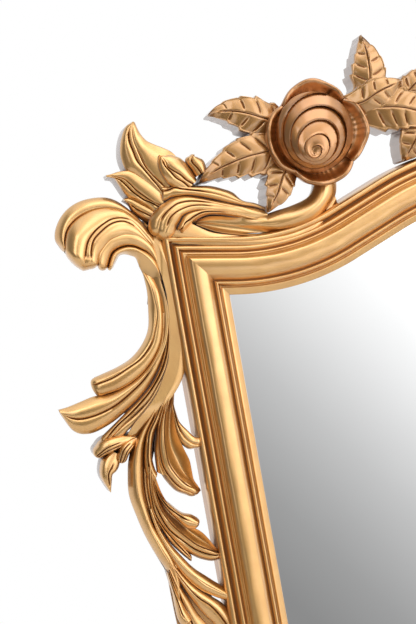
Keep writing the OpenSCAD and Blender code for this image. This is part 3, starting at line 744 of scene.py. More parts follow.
    # the hollow flank and its rib, which become the small upper leaf
    loft(s, [[[-73, 23], [-70, 16], [-67, 3], [-66, -10], [-66, -27], [-71, -40],
              [-80, -51], [-91, -58], [-102, -63], [-109, -66]],
             [[-69, 19], [-65, 9], [-62, -4], [-60, -16], [-62, -30], [-65, -40],
              [-73, -51], [-84, -59], [-95, -66], [-105, -70]],
             [[-65, 18], [-61, 9], [-57, -2], [-55, -16], [-55, -31], [-58, -43],
              [-65, -56], [-75, -67], [-87, -75], [-99, -79]],
             [[-63, 22], [-58, 13], [-54, 1], [-51, -13], [-51, -27], [-53, -40],
              [-59, -54], [-68, -66], [-81, -76], [-93, -81]]],
         heights=[[(0, 4), (0.15, 8), (1, 7)],
                  [(0, 6), (0.15, 12), (0.3, 13.6), (0.7, 14), (1, 12)],
                  [(0, 7), (0.2, 12), (0.6, 12.3), (1, 10)], [(0, 11), (0.25, 14.4), (0.6, 13.6), (1, 9)]],
         crowns=[[(0, 0), (0.3, 1.5), (0.5, 3), (1, 2.5)],
                 [(0, 0), (0.4, 2), (1, 2)],
                 [(0, 0), (0.5, 1), (1, 1)]],
         lines=[[(0, 0), (0.45, 0), (0.6, 0.9), (1, 0.9)], [(0, 0), (0.35, 0), (0.5, 1), (1, 1)]],
         end=[(0, 3, 8)])
    # the long leaf
    loft(s, [[[-57, -13], [-57, -30], [-60, -43], [-66, -55], [-76, -66], [-88, -74], [-99, -79],
              [-110, -81], [-120, -85], [-130, -89], [-137, -91]],
             [[-54, -15], [-54, -30], [-56, -43], [-62, -55], [-70, -67], [-80, -77], [-92, -87],
              [-105, -94], [-119, -98], [-129, -97], [-137, -92]],
             [[-52, -16], [-51, -31], [-53, -45], [-57, -58], [-64, -71], [-72, -82], [-84, -93],
              [-97, -103], [-112, -110], [-125, -108], [-136, -94]]],
         heights=[[(0, 10), (0.5, 9), (1, 8)],
                  [(0, 14), (0.5, 14), (1, 10)],
                  [(0, 11), (0.6, 8), (1, 7)]],
         crowns=[[(0, 1), (0.3, 3), (0.8, 4), (1, 0)], [(0, 0.5), (0.4, 2), (0.8, 3), (1, 0)]],
         lines=[[(0, 0.6), (0.3, 1), (0.85, 1), (0.95, 0)]])
    # the narrow pair of strands between the long leaf and the band
    loft(s, [[[-53, -19], [-52, -32], [-54, -46], [-58, -60], [-64, -72], [-73, -83], [-84, -94],
              [-94, -104], [-103, -113]],
             [[-52, -19], [-51, -32], [-52, -46], [-56, -60], [-62, -72], [-70, -83], [-80, -94],
              [-91, -104], [-100, -115]],
             [[-50, -19], [-49, -32], [-50, -46], [-53, -60], [-59, -72], [-66, -84], [-76, -94],
              [-86, -104], [-96, -115]]],
         heights=[[(0, 12), (0.5, 11), (1, 6)],
                  [(0, 13), (0.5, 12), (1, 8)],
                  [(0, 13), (0.5, 12), (1, 7)]],
         crowns=[1.6, 1.6], lines=[[(0, 0.2), (0.4, 1), (0.9, 0.9), (1, 0)]], end=[(0, 2, 4)])
    loft(s, [[[-50, -32], [-51, -46], [-54, -60], [-60, -73], [-67, -85], [-77, -96], [-88, -105],
              [-98, -114]],
             [[-47, -32], [-48, -47], [-51, -63], [-56, -76], [-64, -88], [-73, -100], [-82, -108],
              [-88, -114]]],
         heights=[[(0, 13), (1, 6)], [(0, 13), (1, 6)]], crowns=[1.5], lines=[], end=[(0, 1, 4)])
    return s


def shoulder_scroll():
    s = Solid()
    # dark web behind the leaves and the curl: a sheet of painted shade
    loft(s, [[[-66, 44], [-68, 58], [-63, 76], [-52, 90], [-36, 92], [-26, 88]],
             [[-30, 42], [-10, 50], [0, 60], [2, 68], [-2, 76], [-12, 82]]],
         heights=[3, 3], crowns=[0], darken_all=1)
    # tall leaf
    loft(s, [[[-53, 74], [-61, 80], [-70, 88], [-78, 94], [-84, 98], [-88, 107], [-89, 115],
              [-88, 124], [-85, 132], [-80, 136]],
             [[-53, 78], [-59, 86], [-65, 93], [-71, 100], [-76, 106], [-79, 113], [-82, 120],
              [-83, 126], [-82, 131], [-80, 136]],
             [[-49, 82], [-56, 88], [-61, 92], [-66, 97], [-70, 102], [-73, 108], [-76, 114],
              [-79, 121], [-80, 129], [-79, 136]],
             [[-38, 95], [-40, 102], [-43, 109], [-48, 114], [-55, 117], [-61, 119], [-68, 122],
              [-73, 127], [-76, 132], [-78, 136]]],
         heights=[[(0, 9), (0.5, 11), (1, 15)],
                  [(0, 13), (0.6, 15), (1, 17)],
                  [(0, 13), (0.6, 15), (1, 17)],
                  [(0, 9), (0.5, 11), (1, 15)]],
         crowns=[[(0, 1), (0.6, 3), (1, 0)],
                 [(0, 0.8), (0.8, 0.8), (1, 0)],
                 [(0, 1), (0.4, 3), (0.8, 2), (1, 0)]],
         lines=[[(0, 0.2), (0.15, 1), (0.75, 1), (0.85, 0)], [(0, 0.2), (0.15, 1), (0.55, 1), (0.68, 0)]],
         undercut=-0.9)
    # side leaf
    loft(s, [[[-51, 77], [-56, 83], [-64, 89], [-71, 93], [-78, 97], [-83, 98], [-90, 97], [-96, 95],
              [-100, 94]],
             [[-57, 71], [-62, 73], [-67, 76], [-73, 80], [-77, 83], [-81, 87], [-86, 91], [-93, 93],
              [-100, 94]],
             [[-59, 70], [-64, 73], [-70, 75], [-76, 79], [-81, 83], [-86, 88], [-90, 91], [-95, 92],
              [-100, 93]],
             [[-63, 65], [-67, 69], [-72, 72], [-77, 75], [-82, 77], [-86, 81], [-90, 87], [-94, 92],
              [-99, 93]]],
         heights=[[(0, 11), (0.6, 12), (1, 10)],
                  [(0, 13), (0.7, 12), (1, 10)],
                  [(0, 12), (0.7, 11), (1, 10)],
                  [(0, 8), (1, 9)]],
         crowns=[[(0, 1), (0.6, 2), (1, 0)],
                 [(0, 0.8), (0.8, 0.8), (1, 0)],
                 [(0, 2), (0.8, 2), (1, 0)]],
         lines=[[(0, 0.6), (0.1, 1), (0.62, 1), (0.75, 0)], [(0, 0.6), (0.1, 1), (0.66, 1), (0.8, 0)]],
         undercut=-0.9)
    # low leaf
    loft(s, [[[-59, 67], [-67, 71], [-75, 75], [-81, 77], [-86, 76]],
             [[-64, 62], [-70, 65], [-76, 68], [-80, 71], [-85, 74]],
             [[-67, 57], [-73, 61], [-79, 66], [-82, 71], [-85, 74]]],
         heights=[[(0, 8), (1, 8)], [(0, 10), (1, 9)], [(0, 5), (1, 7)]], crowns=[1.5, 1.5],
         lines=[[(0, 0.8), (0.2, 1), (0.65, 1), (0.8, 0)]])
    # small leaf behind, and the round leaf that stands over the tall one
    loft(s, [[[-28, 94], [-32, 100], [-36, 105], [-36, 109], [-33, 111]],
             [[-24, 97], [-27, 101], [-31, 105], [-32, 108], [-31, 110]],
             [[-19, 99], [-20, 104], [-22, 108], [-26, 110], [-29, 111]]],
         heights=[10, 13, 10], crowns=[2, 2], lines=[[(0, 1), (0.6, 1), (0.8, 0)]], end=[(0, 2, 3)])
    loft(s, [[[-42, 82], [-49, 86], [-53, 90], [-57, 96], [-59, 102], [-59, 107], [-58, 110]],
             [[-34, 85], [-39, 89], [-45, 92], [-50, 97], [-54, 101], [-56, 105], [-57, 108]],
             [[-31, 88], [-37, 91], [-42, 95], [-48, 98], [-52, 101], [-54, 105], [-56, 108]],
             [[-27, 92], [-31, 98], [-35, 103], [-40, 108], [-45, 110], [-50, 111], [-54, 110]]],
         heights=[[(0, 13), (0.5, 17), (1, 17)],
                  [(0, 16), (0.5, 19), (1, 18)],
                  [(0, 16), (0.5, 19), (1, 18)],
                  [(0, 10), (0.5, 13), (1, 15)]],
         crowns=[[(0, 2), (1, 2)], [(0, 0.8), (0.8, 0.8), (1, 0)], [(0, 3), (0.6, 3), (1, 1)]],
         lines=[[(0, 1), (0.75, 1), (0.9, 0)], [(0, 1), (0.6, 1), (0.75, 0)]], end=[(0, 3, 3)])
    # stem of the rose, which hollows out towards the left
    loft(s, [[[71, 100], [70, 88], [64, 79], [50, 72], [38, 68], [26, 64], [14, 62], [2, 62],
              [-10, 63], [-20, 62], [-30, 58]],
             [[79, 98], [78, 85], [72, 74], [60, 65], [47, 60], [33, 57], [18, 56], [4, 56], [-10, 57],
              [-22, 58], [-31, 57]],
             [[90, 97], [89, 83], [82, 71], [72, 61], [59, 55], [46, 52], [33, 51], [19, 50], [2, 50],
              [-13, 52], [-29, 57]]],
         heights=[[(0, 10), (0.4, 13), (1, 12)], [(0, 16), (0.3, 21), (0.5, 18), (0.7, 10), (1, 7)],
                  [(0, 8), (0.4, 12), (1, 11)]],
         crowns=[[(0, 2), (0.5, 2), (0.7, -1), (1, -2)],
                 [(0, 2), (0.5, 2), (0.7, -1), (1, -2)]], lines=[0])
    # bead and lower band along the moulding
    lobe(s, [[86, 84, 0.5], [82, 75, 1], [74, 66, 1], [62, 57, 1.5], [50, 52, 1.5], [33, 49, 1.5],
             [19, 48, 1.5], [2, 49, 1.5], [-13, 51, 1], [-28, 56, 1]],
         [(0, 11), (0.3, 15), (1, 14)], ROUND, edge=8, across=10)
    loft(s, [[[88, 82], [80, 71], [72, 62], [60, 55], [46, 50], [33, 48], [16, 47], [0, 48], [-16, 50],
              [-29, 55], [-40, 60], [-51, 64]],
             [[89, 79], [82, 68], [73, 59], [61, 51], [48, 47], [33, 44], [16, 43], [0, 43], [-17, 45],
              [-31, 47], [-40, 48], [-51, 50]],
             [[91, 76], [85, 66], [76, 56], [63, 49], [50, 43], [34, 40], [17, 39], [1, 39], [-16, 39],
              [-30, 40], [-40, 40], [-48, 41]]],
         heights=[[(0, 9), (0.3, 14), (1, 14)], [(0, 10), (0.3, 16.2), (1, 16)],
                  [(0, 6), (0.3, 15.4), (1, 15.2)]],
         crowns=[0.4, 0.4], lines=[0], darken_all=0.16)
    # strand over the curl
    loft(s, [[[31, 70], [20, 74], [10, 76], [2, 82], [-7, 85], [-17, 87], [-27, 87], [-37, 87],
              [-45, 87], [-52, 86], [-57, 87]],
             [[30, 69], [19, 72], [9, 74], [-1, 77], [-12, 80], [-23, 82], [-32, 83], [-41, 84],
              [-46, 85], [-51, 83], [-55, 82]],
             [[30, 68], [19, 71], [9, 72], [-3, 74], [-13, 76], [-24, 78], [-35, 79], [-44, 78],
              [-49, 77], [-52, 75], [-55, 74]]],
         heights=[[(0, 12), (0.4, 13), (1, 11)],
                  [(0, 14), (0.4, 18), (1, 15)],
                  [(0, 14), (0.4, 17), (1, 14)]],
         crowns=[[(0, 0.5), (0.4, 2), (1, 2)], [(0, 0.5), (0.5, 2), (1, 2)]],
         lines=[[(0, 0), (0.42, 0), (0.55, 1), (0.85, 1), (1, 0.4)]])
    # the curl
    loft(s, [[[31, 68], [19, 71], [9, 72], [-3, 75], [-14, 76], [-26, 78], [-37, 79], [-47, 77],
              [-55, 72], [-61, 67], [-66, 60], [-67, 54]],
             [[30, 65], [19, 67], [8, 70], [-3, 71], [-15, 73], [-26, 74], [-35, 74], [-44, 72],
              [-50, 68], [-55, 63], [-58, 58], [-59, 54]],
             [[30, 64], [18, 65], [7, 68], [-3, 70], [-14, 70], [-24, 71], [-34, 70], [-42, 67],
              [-47, 64], [-51, 60], [-53, 55], [-54, 51]],
             [[30, 63], [19, 62], [8, 64], [-1, 66], [-12, 67], [-21, 67], [-28, 67], [-35, 65],
              [-40, 62], [-43, 57], [-45, 53], [-46, 49]]],
         heights=[[(0, 12), (0.5, 15), (0.8, 16), (1, 16)],
                  [(0, 15), (0.5, 19), (0.8, 22), (1, 21)],
                  [(0, 15), (0.5, 20), (0.8, 23), (1, 22)], [(0, 14), (0.5, 19), (0.8, 19), (1, 17)]],
         crowns=[[(0, 0), (0.4, 1), (0.8, 2), (1, 2)], [(0, 0), (0.5, 0.6), (0.8, 0.8), (1, 0.8)],
                 [(0, 0), (0.5, 0.6), (0.8, 1.6), (1, 1.6)]],
         lines=[[(0, 0), (0.35, 0), (0.45, 0.9), (0.84, 0.9), (0.92, 0)],
                [(0, 0), (0.35, 0), (0.45, 0.9), (0.88, 0.9), (0.96, 0)]],
         end=[(0, 3, 9)], end_low=10)
    # the small curl and the ridge over the hollow
    loft(s, [[[29, 61], [19, 62], [8, 64], [-1, 66], [-11, 67], [-18, 68], [-26, 67], [-34, 65],
              [-39, 62], [-42, 57], [-44, 53]],
             [[28, 61], [18, 61], [8, 63], [-1, 65], [-10, 66], [-18, 66], [-25, 65], [-31, 62],
              [-35, 59], [-38, 57], [-40, 54]],
             [[29, 61], [19, 61], [9, 62], [0, 63], [-8, 64], [-17, 64], [-24, 62], [-30, 58],
              [-34, 54], [-37, 51], [-39, 49]]],
         heights=[[(0, 14), (0.5, 19), (1, 20)],
                  [(0, 14), (0.5, 20), (1, 22)],
                  [(0, 12), (0.5, 15), (1, 15)]],
         crowns=[[(0, 0.4), (0.5, 1), (1, 2)], [(0, 0.4), (0.5, 2), (1, 3)]],
         lines=[[(0, 0), (0.3, 0), (0.45, 1), (0.92, 1), (1, 0)]], end=[(0, 2, 4)], end_low=8)
    return s


def side_spray():
    s = Solid()
    # dark web behind the strands: a sheet of painted shade
    loft(s, [[[-55, -66], [-58, -110], [-64, -150], [-58, -180], [-44, -206], [-28, -226]],
             [[-60, -74], [-70, -110], [-75, -150], [-71, -180], [-61, -205], [-46, -230]]],
         heights=[2, 2], crowns=[0], darken_all=1)
    # web behind the lower fan, darkened as painted shade
    loft(s, [[[-56, -196], [-52, -216], [-48, -238], [-43, -262], [-38, -280]],
             [[-44, -206], [-28, -226], [-16, -240], [-8, -260], [-5, -284]]],
         heights=[7, 7], crowns=[0], darken_all=0.35)
    # hooked leaf beside the moulding
    loft(s, [[[-47, -73], [-48, -87], [-47, -97], [-46, -105], [-44, -112], [-41, -118], [-35, -123],
              [-30, -123]],
             [[-46, -73], [-47, -86], [-45, -96], [-43, -104], [-41, -109], [-38, -114], [-33, -118],
              [-29, -119]],
             [[-45, -73], [-46, -86], [-44, -95], [-42, -101], [-39, -105], [-35, -109], [-31, -113],
              [-27, -114]]],
         heights=[[(0, 9), (0.6, 12), (1, 15)],
                  [(0, 11), (0.6, 15), (1, 20)],
                  [(0, 9), (0.6, 14), (1, 18)]],
         crowns=[[(0, 1), (1, 3)],
                 [(0, 1), (1, 2)]], lines=[[(0, 0), (0.2, 0.8), (0.5, 0.8), (0.65, 0)]],
         end=[(0, 2, 5)], end_low=8)
    # hollow leaf
    loft(s, [[[-49, -73], [-53, -87], [-57, -98], [-60, -110], [-60, -123], [-59, -135], [-53, -147],
              [-44, -157], [-35, -161]],
             [[-48, -73], [-52, -87], [-56, -98], [-58, -110], [-58, -122], [-55, -136], [-49, -146],
              [-41, -154], [-33, -158]],
             [[-47, -73], [-51, -87], [-53, -97], [-54, -110], [-53, -122], [-50, -135], [-44, -144],
              [-37, -151], [-30, -155]],
             [[-45, -73], [-48, -88], [-49, -98], [-49, -111], [-47, -122], [-42, -133], [-37, -143],
              [-32, -149], [-27, -155]],
             [[-45, -73], [-46, -88], [-46, -98], [-44, -110], [-39, -122], [-34, -132], [-32, -140],
              [-30, -148], [-26, -154]]],
         heights=[[(0, 6), (1, 6)], [(0, 10), (0.5, 13), (1, 11)], [(0, 11), (0.5, 15), (1, 12)],
                  [(0, 10), (0.3, 8), (0.7, 7), (1, 9)], [(0, 9), (0.5, 15), (1, 11)]],
         crowns=[2, 1.5, [(0, 0), (0.5, -1.5), (1, 0)], [(0, 0), (0.5, -1.5), (1, 0)]],
         lines=[[(0, 0), (0.3, 0.8), (0.8, 0.8), (1, 0)], [(0, 0.5), (0.3, 1), (0.9, 1), (1, 0)], 0],
         end=[(0, 4, 7)])
    # two narrow leaves beside it
    loft(s, [[[-50, -73], [-57, -87], [-63, -99], [-68, -110], [-70, -123], [-70, -135], [-68, -145],
              [-63, -149]],
             [[-49, -74], [-56, -87], [-61, -99], [-66, -110], [-67, -121], [-67, -132], [-65, -141],
              [-62, -147]],
             [[-48, -76], [-53, -87], [-57, -99], [-61, -110], [-63, -121], [-63, -131], [-61, -139],
              [-59, -143]]],
         heights=[[(0, 8), (1, 8)], [(0, 12), (0.5, 14), (1, 11)], [(0, 9), (1, 9)]], crowns=[2, 2],
         lines=[[(0, 0.3), (0.3, 1), (0.85, 1), (1, 0)]], end=[(0, 2, 1.5)])
    loft(s, [[[-48, -76], [-55, -89], [-59, -101], [-60, -112], [-61, -124], [-60, -135], [-59, -142]],
             [[-48, -76], [-53, -88], [-56, -100], [-58, -111], [-58, -124], [-57, -135], [-54, -144]],
             [[-47, -76], [-51, -88], [-53, -101], [-54, -112], [-54, -124], [-52, -135], [-48, -144]]],
         heights=[[(0, 8), (1, 8)], [(0, 12), (1, 11)], [(0, 9), (1, 9)]], crowns=[1.5, 1.5],
         lines=[[(0, 0), (0.3, 0.5), (0.8, 0.5), (1, 0)]])
    # husk
    lobe(s, [[-73, -115, 2.5], [-82, -116, 4.5], [-92, -118, 6], [-100, -121, 6.5], [-105, -125, 5]],
         [(0, 9), (0.6, 14), (1, 11)], FLAT, edge=3, tip="round",
         grooves=[(0.5, 0.45, 0.45, 0.95, 1, 1), (0.05, 0.1, 0.45, 0.95, 1, 1)])
    lobe(s, [[-73, -115, 2.5], [-80, -119, 4.5], [-85, -124, 5], [-87, -130, 4.5]],
         [(0, 9), (0.6, 14), (1, 10)], FLAT, edge=3, tip="round",
         grooves=[(0.3, 0.3, 0.35, 0.95, 1, 1), (-0.3, -0.3, 0.35, 0.95, 1, 1)])
    lobe(s, [[-92, -126, 5], [-96, -135, 7.5], [-99, -142, 5.5], [-98, -149, 3.5], [-96, -157, 0.5]],
         [(0, 8), (0.5, 11), (1, 8)], FLAT, edge=2,
         grooves=[(0.2, 0.15, 0.3, 0.8, 1.1, 1.2)])
    # stem
    loft(s, [[[-59, -87], [-65, -97], [-71, -107], [-77, -118], [-81, -130], [-82, -143], [-81, -160],
              [-75, -177], [-68, -193], [-59, -209], [-51, -221], [-46, -233], [-43, -245]],
             [[-59, -86], [-64, -97], [-70, -107], [-74, -118], [-76, -130], [-76, -144], [-74, -159],
              [-70, -172], [-65, -186], [-57, -201], [-49, -215], [-45, -229], [-43, -243]],
             [[-57, -87], [-62, -99], [-66, -109], [-69, -119], [-70, -131], [-70, -145], [-69, -157],
              [-66, -170], [-62, -183], [-54, -198], [-47, -211], [-42, -226], [-41, -243]],
             [[-56, -87], [-61, -100], [-65, -110], [-68, -120], [-69, -132], [-68, -145], [-67, -156],
              [-65, -167], [-59, -181], [-52, -196], [-45, -208], [-41, -224], [-40, -242]]],
         heights=[[(0, 5), (1, 6)], [(0, 12), (0.5, 14), (1, 12)], [(0, 9), (0.5, 9), (1, 12)],
                  [(0, 10), (0.5, 9), (1, 10)]],
         crowns=[2.5, [(0, 1), (0.5, 1), (1, 1)], 0.3],
         lines=[0, [(0, 0.9), (0.4, 1), (0.6, 0.6), (0.8, 0)]])
    # inner strand that runs down behind the pointed leaf
    loft(s, [[[-67, -137], [-68, -150], [-66, -162], [-63, -175], [-56, -187], [-48, -199],
              [-39, -208], [-32, -214]],
             [[-66, -137], [-66, -149], [-64, -162], [-61, -174], [-54, -186], [-46, -196],
              [-38, -205], [-32, -211]],
             [[-64, -137], [-63, -150], [-61, -162], [-57, -174], [-51, -186], [-43, -195],
              [-36, -203], [-31, -210]]],
         heights=[[(0, 9), (1, 6)], [(0, 13), (1, 9)], [(0, 11), (1, 7)]], crowns=[1.5, 1.5],
         lines=[[(0, 0.4), (0.3, 0.9), (0.9, 0.9), (1, 0)]], end=[(0, 2, 2)])
    # pointed leaf with its hollow
    loft(s, [[[-65, -143], [-64, -162], [-59, -178], [-51, -190], [-41, -201], [-29, -210],
              [-18, -214], [-11, -214], [-7, -210]],
             [[-65, -142], [-63, -161], [-58, -174], [-51, -186], [-41, -195], [-30, -203],
              [-21, -207], [-13, -209], [-8, -208]],
             [[-64, -142], [-61, -159], [-56, -172], [-48, -183], [-38, -192], [-29, -199],
              [-21, -203], [-13, -206], [-8, -208]],
             [[-62, -143], [-58, -160], [-52, -172], [-43, -181], [-34, -189], [-26, -195],
              [-19, -200], [-13, -205], [-7, -208]],
             [[-62, -142], [-56, -158], [-49, -169], [-40, -178], [-32, -185], [-24, -190],
              [-18, -196], [-13, -202], [-8, -206]]],
         heights=[[(0, 6), (1, 9)], [(0, 12), (0.5, 13), (1, 14)], [(0, 13), (0.5, 15), (1, 15)],
                  [(0, 11), (0.5, 8), (1, 13)], [(0, 11), (0.5, 14), (1, 14)]],
         crowns=[2, 1.2, [(0, 0), (0.5, -1.2), (1, 0)], [(0, 0), (0.5, -1.2), (1, 0)]],
         lines=[[(0, 0.3), (0.3, 0.9), (0.85, 0.9), (1, 0)], [(0, 0.3), (0.3, 1), (0.85, 1), (1, 0)], 0])
    # round leaf above it
    loft(s, [[[-66, -142], [-59, -160], [-52, -171], [-44, -179], [-36, -186], [-30, -187]],
             [[-65, -141], [-58, -159], [-51, -169], [-42, -176], [-35, -180], [-29, -182]],
             [[-64, -140], [-57, -159], [-49, -167], [-40, -174], [-32, -176], [-27, -179]]],
         heights=[[(0, 9), (1, 13)],
                  [(0, 12), (0.6, 15), (1, 19)],
                  [(0, 8), (1, 13)]], crowns=[2, 2],
         lines=[[(0, 0.5), (0.3, 1), (0.7, 1), (0.85, 0)]], end=[(0, 2, 4)], end_low=7)
    # the lower fan: a broad leaf towards the moulding and three under it
    loft(s, [[[-64, -167], [-59, -182], [-51, -196], [-40, -209], [-30, -219], [-20, -226],
              [-11, -232], [-2, -237]],
             [[-65, -173], [-59, -187], [-51, -201], [-42, -213], [-32, -223], [-22, -231],
              [-13, -236], [-3, -241]],
             [[-63, -180], [-59, -192], [-52, -205], [-43, -219], [-34, -229], [-24, -237],
              [-14, -242], [-4, -246]]],
         heights=[[(0, 9), (0.5, 10), (1, 9)], [(0, 11), (0.5, 14), (1, 15)], [(0, 9), (1, 11)]],
         crowns=[1.2, 1.2], lines=[[(0, 0), (0.6, 0), (0.8, 0.5), (1, 0)]], end=[(0, 2, 4)])
    loft(s, [[[-50, -209], [-36, -226], [-25, -236], [-15, -243], [-6, -249], [1, -257], [3, -265]],
             [[-50, -213], [-37, -231], [-27, -242], [-17, -249], [-10, -256], [-4, -264], [0, -271]],
             [[-48, -219], [-36, -238], [-27, -250], [-20, -258], [-13, -265], [-7, -275], [-2, -284]]],
         heights=[[(0, 9), (1, 8)], [(0, 13), (1, 12)], [(0, 10), (1, 8)]], crowns=[1.5, 1.5],
         lines=[[(0, 0.2), (0.3, 1), (0.85, 1), (1, 0)]], end=[(0, 2, 3)])
    loft(s, [[[-49, -215], [-40, -233], [-32, -246], [-26, -256], [-18, -266], [-11, -277], [-4, -290]],
             [[-50, -219], [-43, -236], [-38, -248], [-32, -261], [-26, -274], [-18, -287], [-9, -301]],
             [[-50, -223], [-45, -239], [-41, -253], [-38, -267], [-32, -281], [-24, -295],
              [-13, -309]]],
         heights=[[(0, 9), (1, 8)], [(0, 13), (1, 10)], [(0, 9), (1, 7)]], crowns=[2, 2],
         lines=[[(0, 0.2), (0.3, 1), (0.85, 1), (1, 0)]])
    loft(s, [[[-50, -220], [-45, -234], [-40, -244], [-36, -252], [-32, -258]],
             [[-51, -222], [-47, -235], [-43, -246], [-40, -255], [-36, -260]],
             [[-51, -225], [-47, -239], [-45, -249], [-43, -258], [-40, -264]]],
         heights=[[(0, 9), (1, 14)], [(0, 12), (1, 19)], [(0, 7), (1, 13)]], crowns=[1.5, 1.5],
         lines=[[(0, 0.2), (0.3, 0.9), (0.7, 0.9), (0.9, 0)]], end=[(0, 2, 3)], end_low=8)
    return s


def rose_leaves():
    s = Solid()
    backing_disc(s, -181, 1663, 34)
    leaf(s, [[52, 138, 10], [38, 139, 15], [27, 142, 17], [15, 145, 16.5], [4, 147, 12.5],
             [-8, 147, 7], [-18, 144, 0.6]],
         [(0, 12), (0.5, 18), (1, 12)], veins=5, sweep=0.22, seed=3)
    leaf(s, [[54, 124, 10], [40, 119, 15], [25, 114, 18], [14, 111, 17.5], [1, 106, 14.5],
             [-13, 99, 8], [-26, 89, 0.6]],
         [(0, 14), (0.5, 20), (1, 17)], veins=6, sweep=0.2, seed=5)
    leaf(s, [[54, 116, 9], [47, 104, 12], [41, 94, 13.5], [37, 82, 11], [33, 74, 6], [29, 66, 0.6]],
         [(0, 14), (0.5, 22), (1, 24)], veins=5, sweep=0.2, seed=8, fold=3.5)
    return s


def garland():
    s = Solid()
    # stem behind the leaves
    lobe(s, [[96, 150, 6], [115, 156, 6], [140, 158, 6], [165, 151, 7], [190, 147, 7],
             [205, 148, 6]],
         [(0, 8), (0.5, 12), (1, 10)], ROUND, edge=3)
    leaf(s, [[112, 158, 8], [115, 167, 12], [117, 177, 16.5], [116, 189, 15], [114, 201, 9.5],
             [110, 214, 0.6]],
         [(0, 12), (0.5, 15), (1, 12)], veins=5, sweep=0.22, seed=11)
    leaf(s, [[98, 154, 10], [110, 158, 13], [122, 166, 13], [134, 172, 8], [142, 176, 2]],
         [(0, 16), (0.5, 22), (1, 20)], veins=4, sweep=0.2, seed=13, bite=0.1)
    leaf(s, [[102, 152, 10], [114, 153, 16], [128, 154, 20], [142, 154, 19], [156, 152, 15],
             [170, 149, 9], [184, 146, 0.6]],
         [(0, 15), (0.5, 21), (1, 15)], veins=7, sweep=0.2, seed=17)
    leaf(s, [[138, 156, 9], [146, 164, 12], [155, 174, 12], [165, 184, 8], [175, 194, 0.6]],
         [(0, 11), (0.5, 15), (1, 11)], veins=5, sweep=0.2, seed=19)
    leaf(s, [[160, 150, 9], [160, 140, 13], [156, 130, 14], [151, 120, 10], [146, 111, 1]],
         [(0, 13), (0.5, 18), (1, 15)], veins=4, sweep=0.2, seed=23, bite=0.08)
    return s


# ---- Moulding ----

def stile_x(z):
    """Half the glass's width at a height: straight above, curved in to the waist, flared below."""
    top_slope = 0.182
    bend_top = 1250.0
    lower_r = 8000.0
    upper_r = (bend_top - PIVOT_Z) / top_slope
    if z > bend_top:
        return TOP_HALF_W - top_slope * (CORNER_Z - z)
    if z > PIVOT_Z:
        return WAIST_HALF_W + (z - PIVOT_Z) ** 2 / (2 * upper_r)
    return WAIST_HALF_W + (PIVOT_Z - z) ** 2 / (2 * lower_r)


def sight_edge():
    """The closed sight edge, clockwise from the bottom's middle, and its corners' indices."""
    foot_x = stile_x(FOOT_Z)
    points = [(-foot_x * t, FOOT_Z - BOTTOM_SAG * (1 - t * t)) for t in np.linspace(0, 1, 30)[:-1]]
    i_foot = len(points)
    points += [(-stile_x(z), z) for z in np.linspace(FOOT_Z, CORNER_Z, 170)[:-1]]
    i_corner = len(points)
    bend = np.linspace(0, BEND_A, 26)
    points += [(-TOP_HALF_W + BEND_R * math.sin(a), CORNER_Z + BEND_R * (1 - math.cos(a)))
               for a in bend]
    end = points[-1]
    run = (end[0] + BEND_RUN * math.cos(BEND_A), end[1] + BEND_RUN * math.sin(BEND_A))
    peak = run[1] + BEND_R * (1 - math.cos(BEND_A))
    points += [(end[0] + (run[0] - end[0]) * k, end[1] + (run[1] - end[1]) * k)
               for k in np.linspace(0, 1, 9)[1:]]
    points += [(run[0] * math.sin(a) / math.sin(BEND_A), peak - BEND_R * (1 - math.cos(a)))
               for a in bend[::-1][1:]]
    half = np.array(points)
    right = half[-2:0:-1] * [-1, 1]
    return np.vstack([half, right]), i_foot, i_corner, len(half), peak


SIGHT, I_FOOT, I_CORNER, N_HALF, PEAK_Z = sight_edge()
SHOULDER_ROSE_R = 43.0
CREST_ROSE_R = 57.0
APRON_ROSE_R = 22.0
CREST_Z = PEAK_Z + RAIL_W + CREST_ROSE_R + 1
APRON_Z = 204.0


def mitres(path):
    """For each point of a closed path, how far a moulding's width reaches, mitred at corners."""
    ahead = np.roll(path, -1, axis=0) - path
    ahead /= np.linalg.norm(ahead, axis=1)[:, None]
    normal = np.column_stack([-ahead[:, 1], ahead[:, 0]])
    before = np.roll(normal, 1, axis=0)
    return (normal + before) / (1 + (normal * before).sum(axis=1))[:, None]


MITRE = mitres(SIGHT)

# [distance from the sight edge, height in front of the glass's back]
SECTION = [
    (0.0, 4.2), (0.0, 8.6), (0.5, 9.4), (3.0, 11.0), (5.2, 12.2), (5.8, 12.0), (6.3, 11.2),
    (7.0, 11.0), (7.7, 12.0), (8.6, 13.8), (9.6, 14.6), (10.5, 14.2), (11.1, 13.0), (11.5, 12.6),
    (12.0, 12.9), (13.0, 14.4), (14.5, 16.2), (16.2, 18.1), (17.0, 18.7), (17.6, 19.0),
    (19.5, 19.7), (22.0, 20.3), (24.5, 20.6), (26.6, 20.6), (28.0, 20.2), (29.2, 19.2), (30.4, 17.5),
    (31.3, 16.4), (32.1, 16.8), (33.0, 17.4), (33.8, 16.8), (34.5, 15.5), (35.2, 15.6),
    (36.0, 17.0), (37.3, 17.9), (38.6, 17.2), (39.4, 15.4), (40.2, 13.9), (41.0, 13.6),
    (41.7, 14.6), (42.8, 16.4), (44.4, 17.2), (46.0, 16.2), (47.3, 12.8), (48.0, 7.0),
    (48.0, -9.4), (48.0, -10.0), (REBATE_W, -10.0), (REBATE_W, 4.2),
]
# Where the moulding darkens, patina and painted shade in its grooves and coves: [distance, strength, width].
HOLLOWS = [(6.6, 0.45, 0.6), (11.5, 0.8, 0.6), (31.2, 0.3, 0.6), (34.8, 0.6, 0.8), (40.6, 0.85, 1.0)]


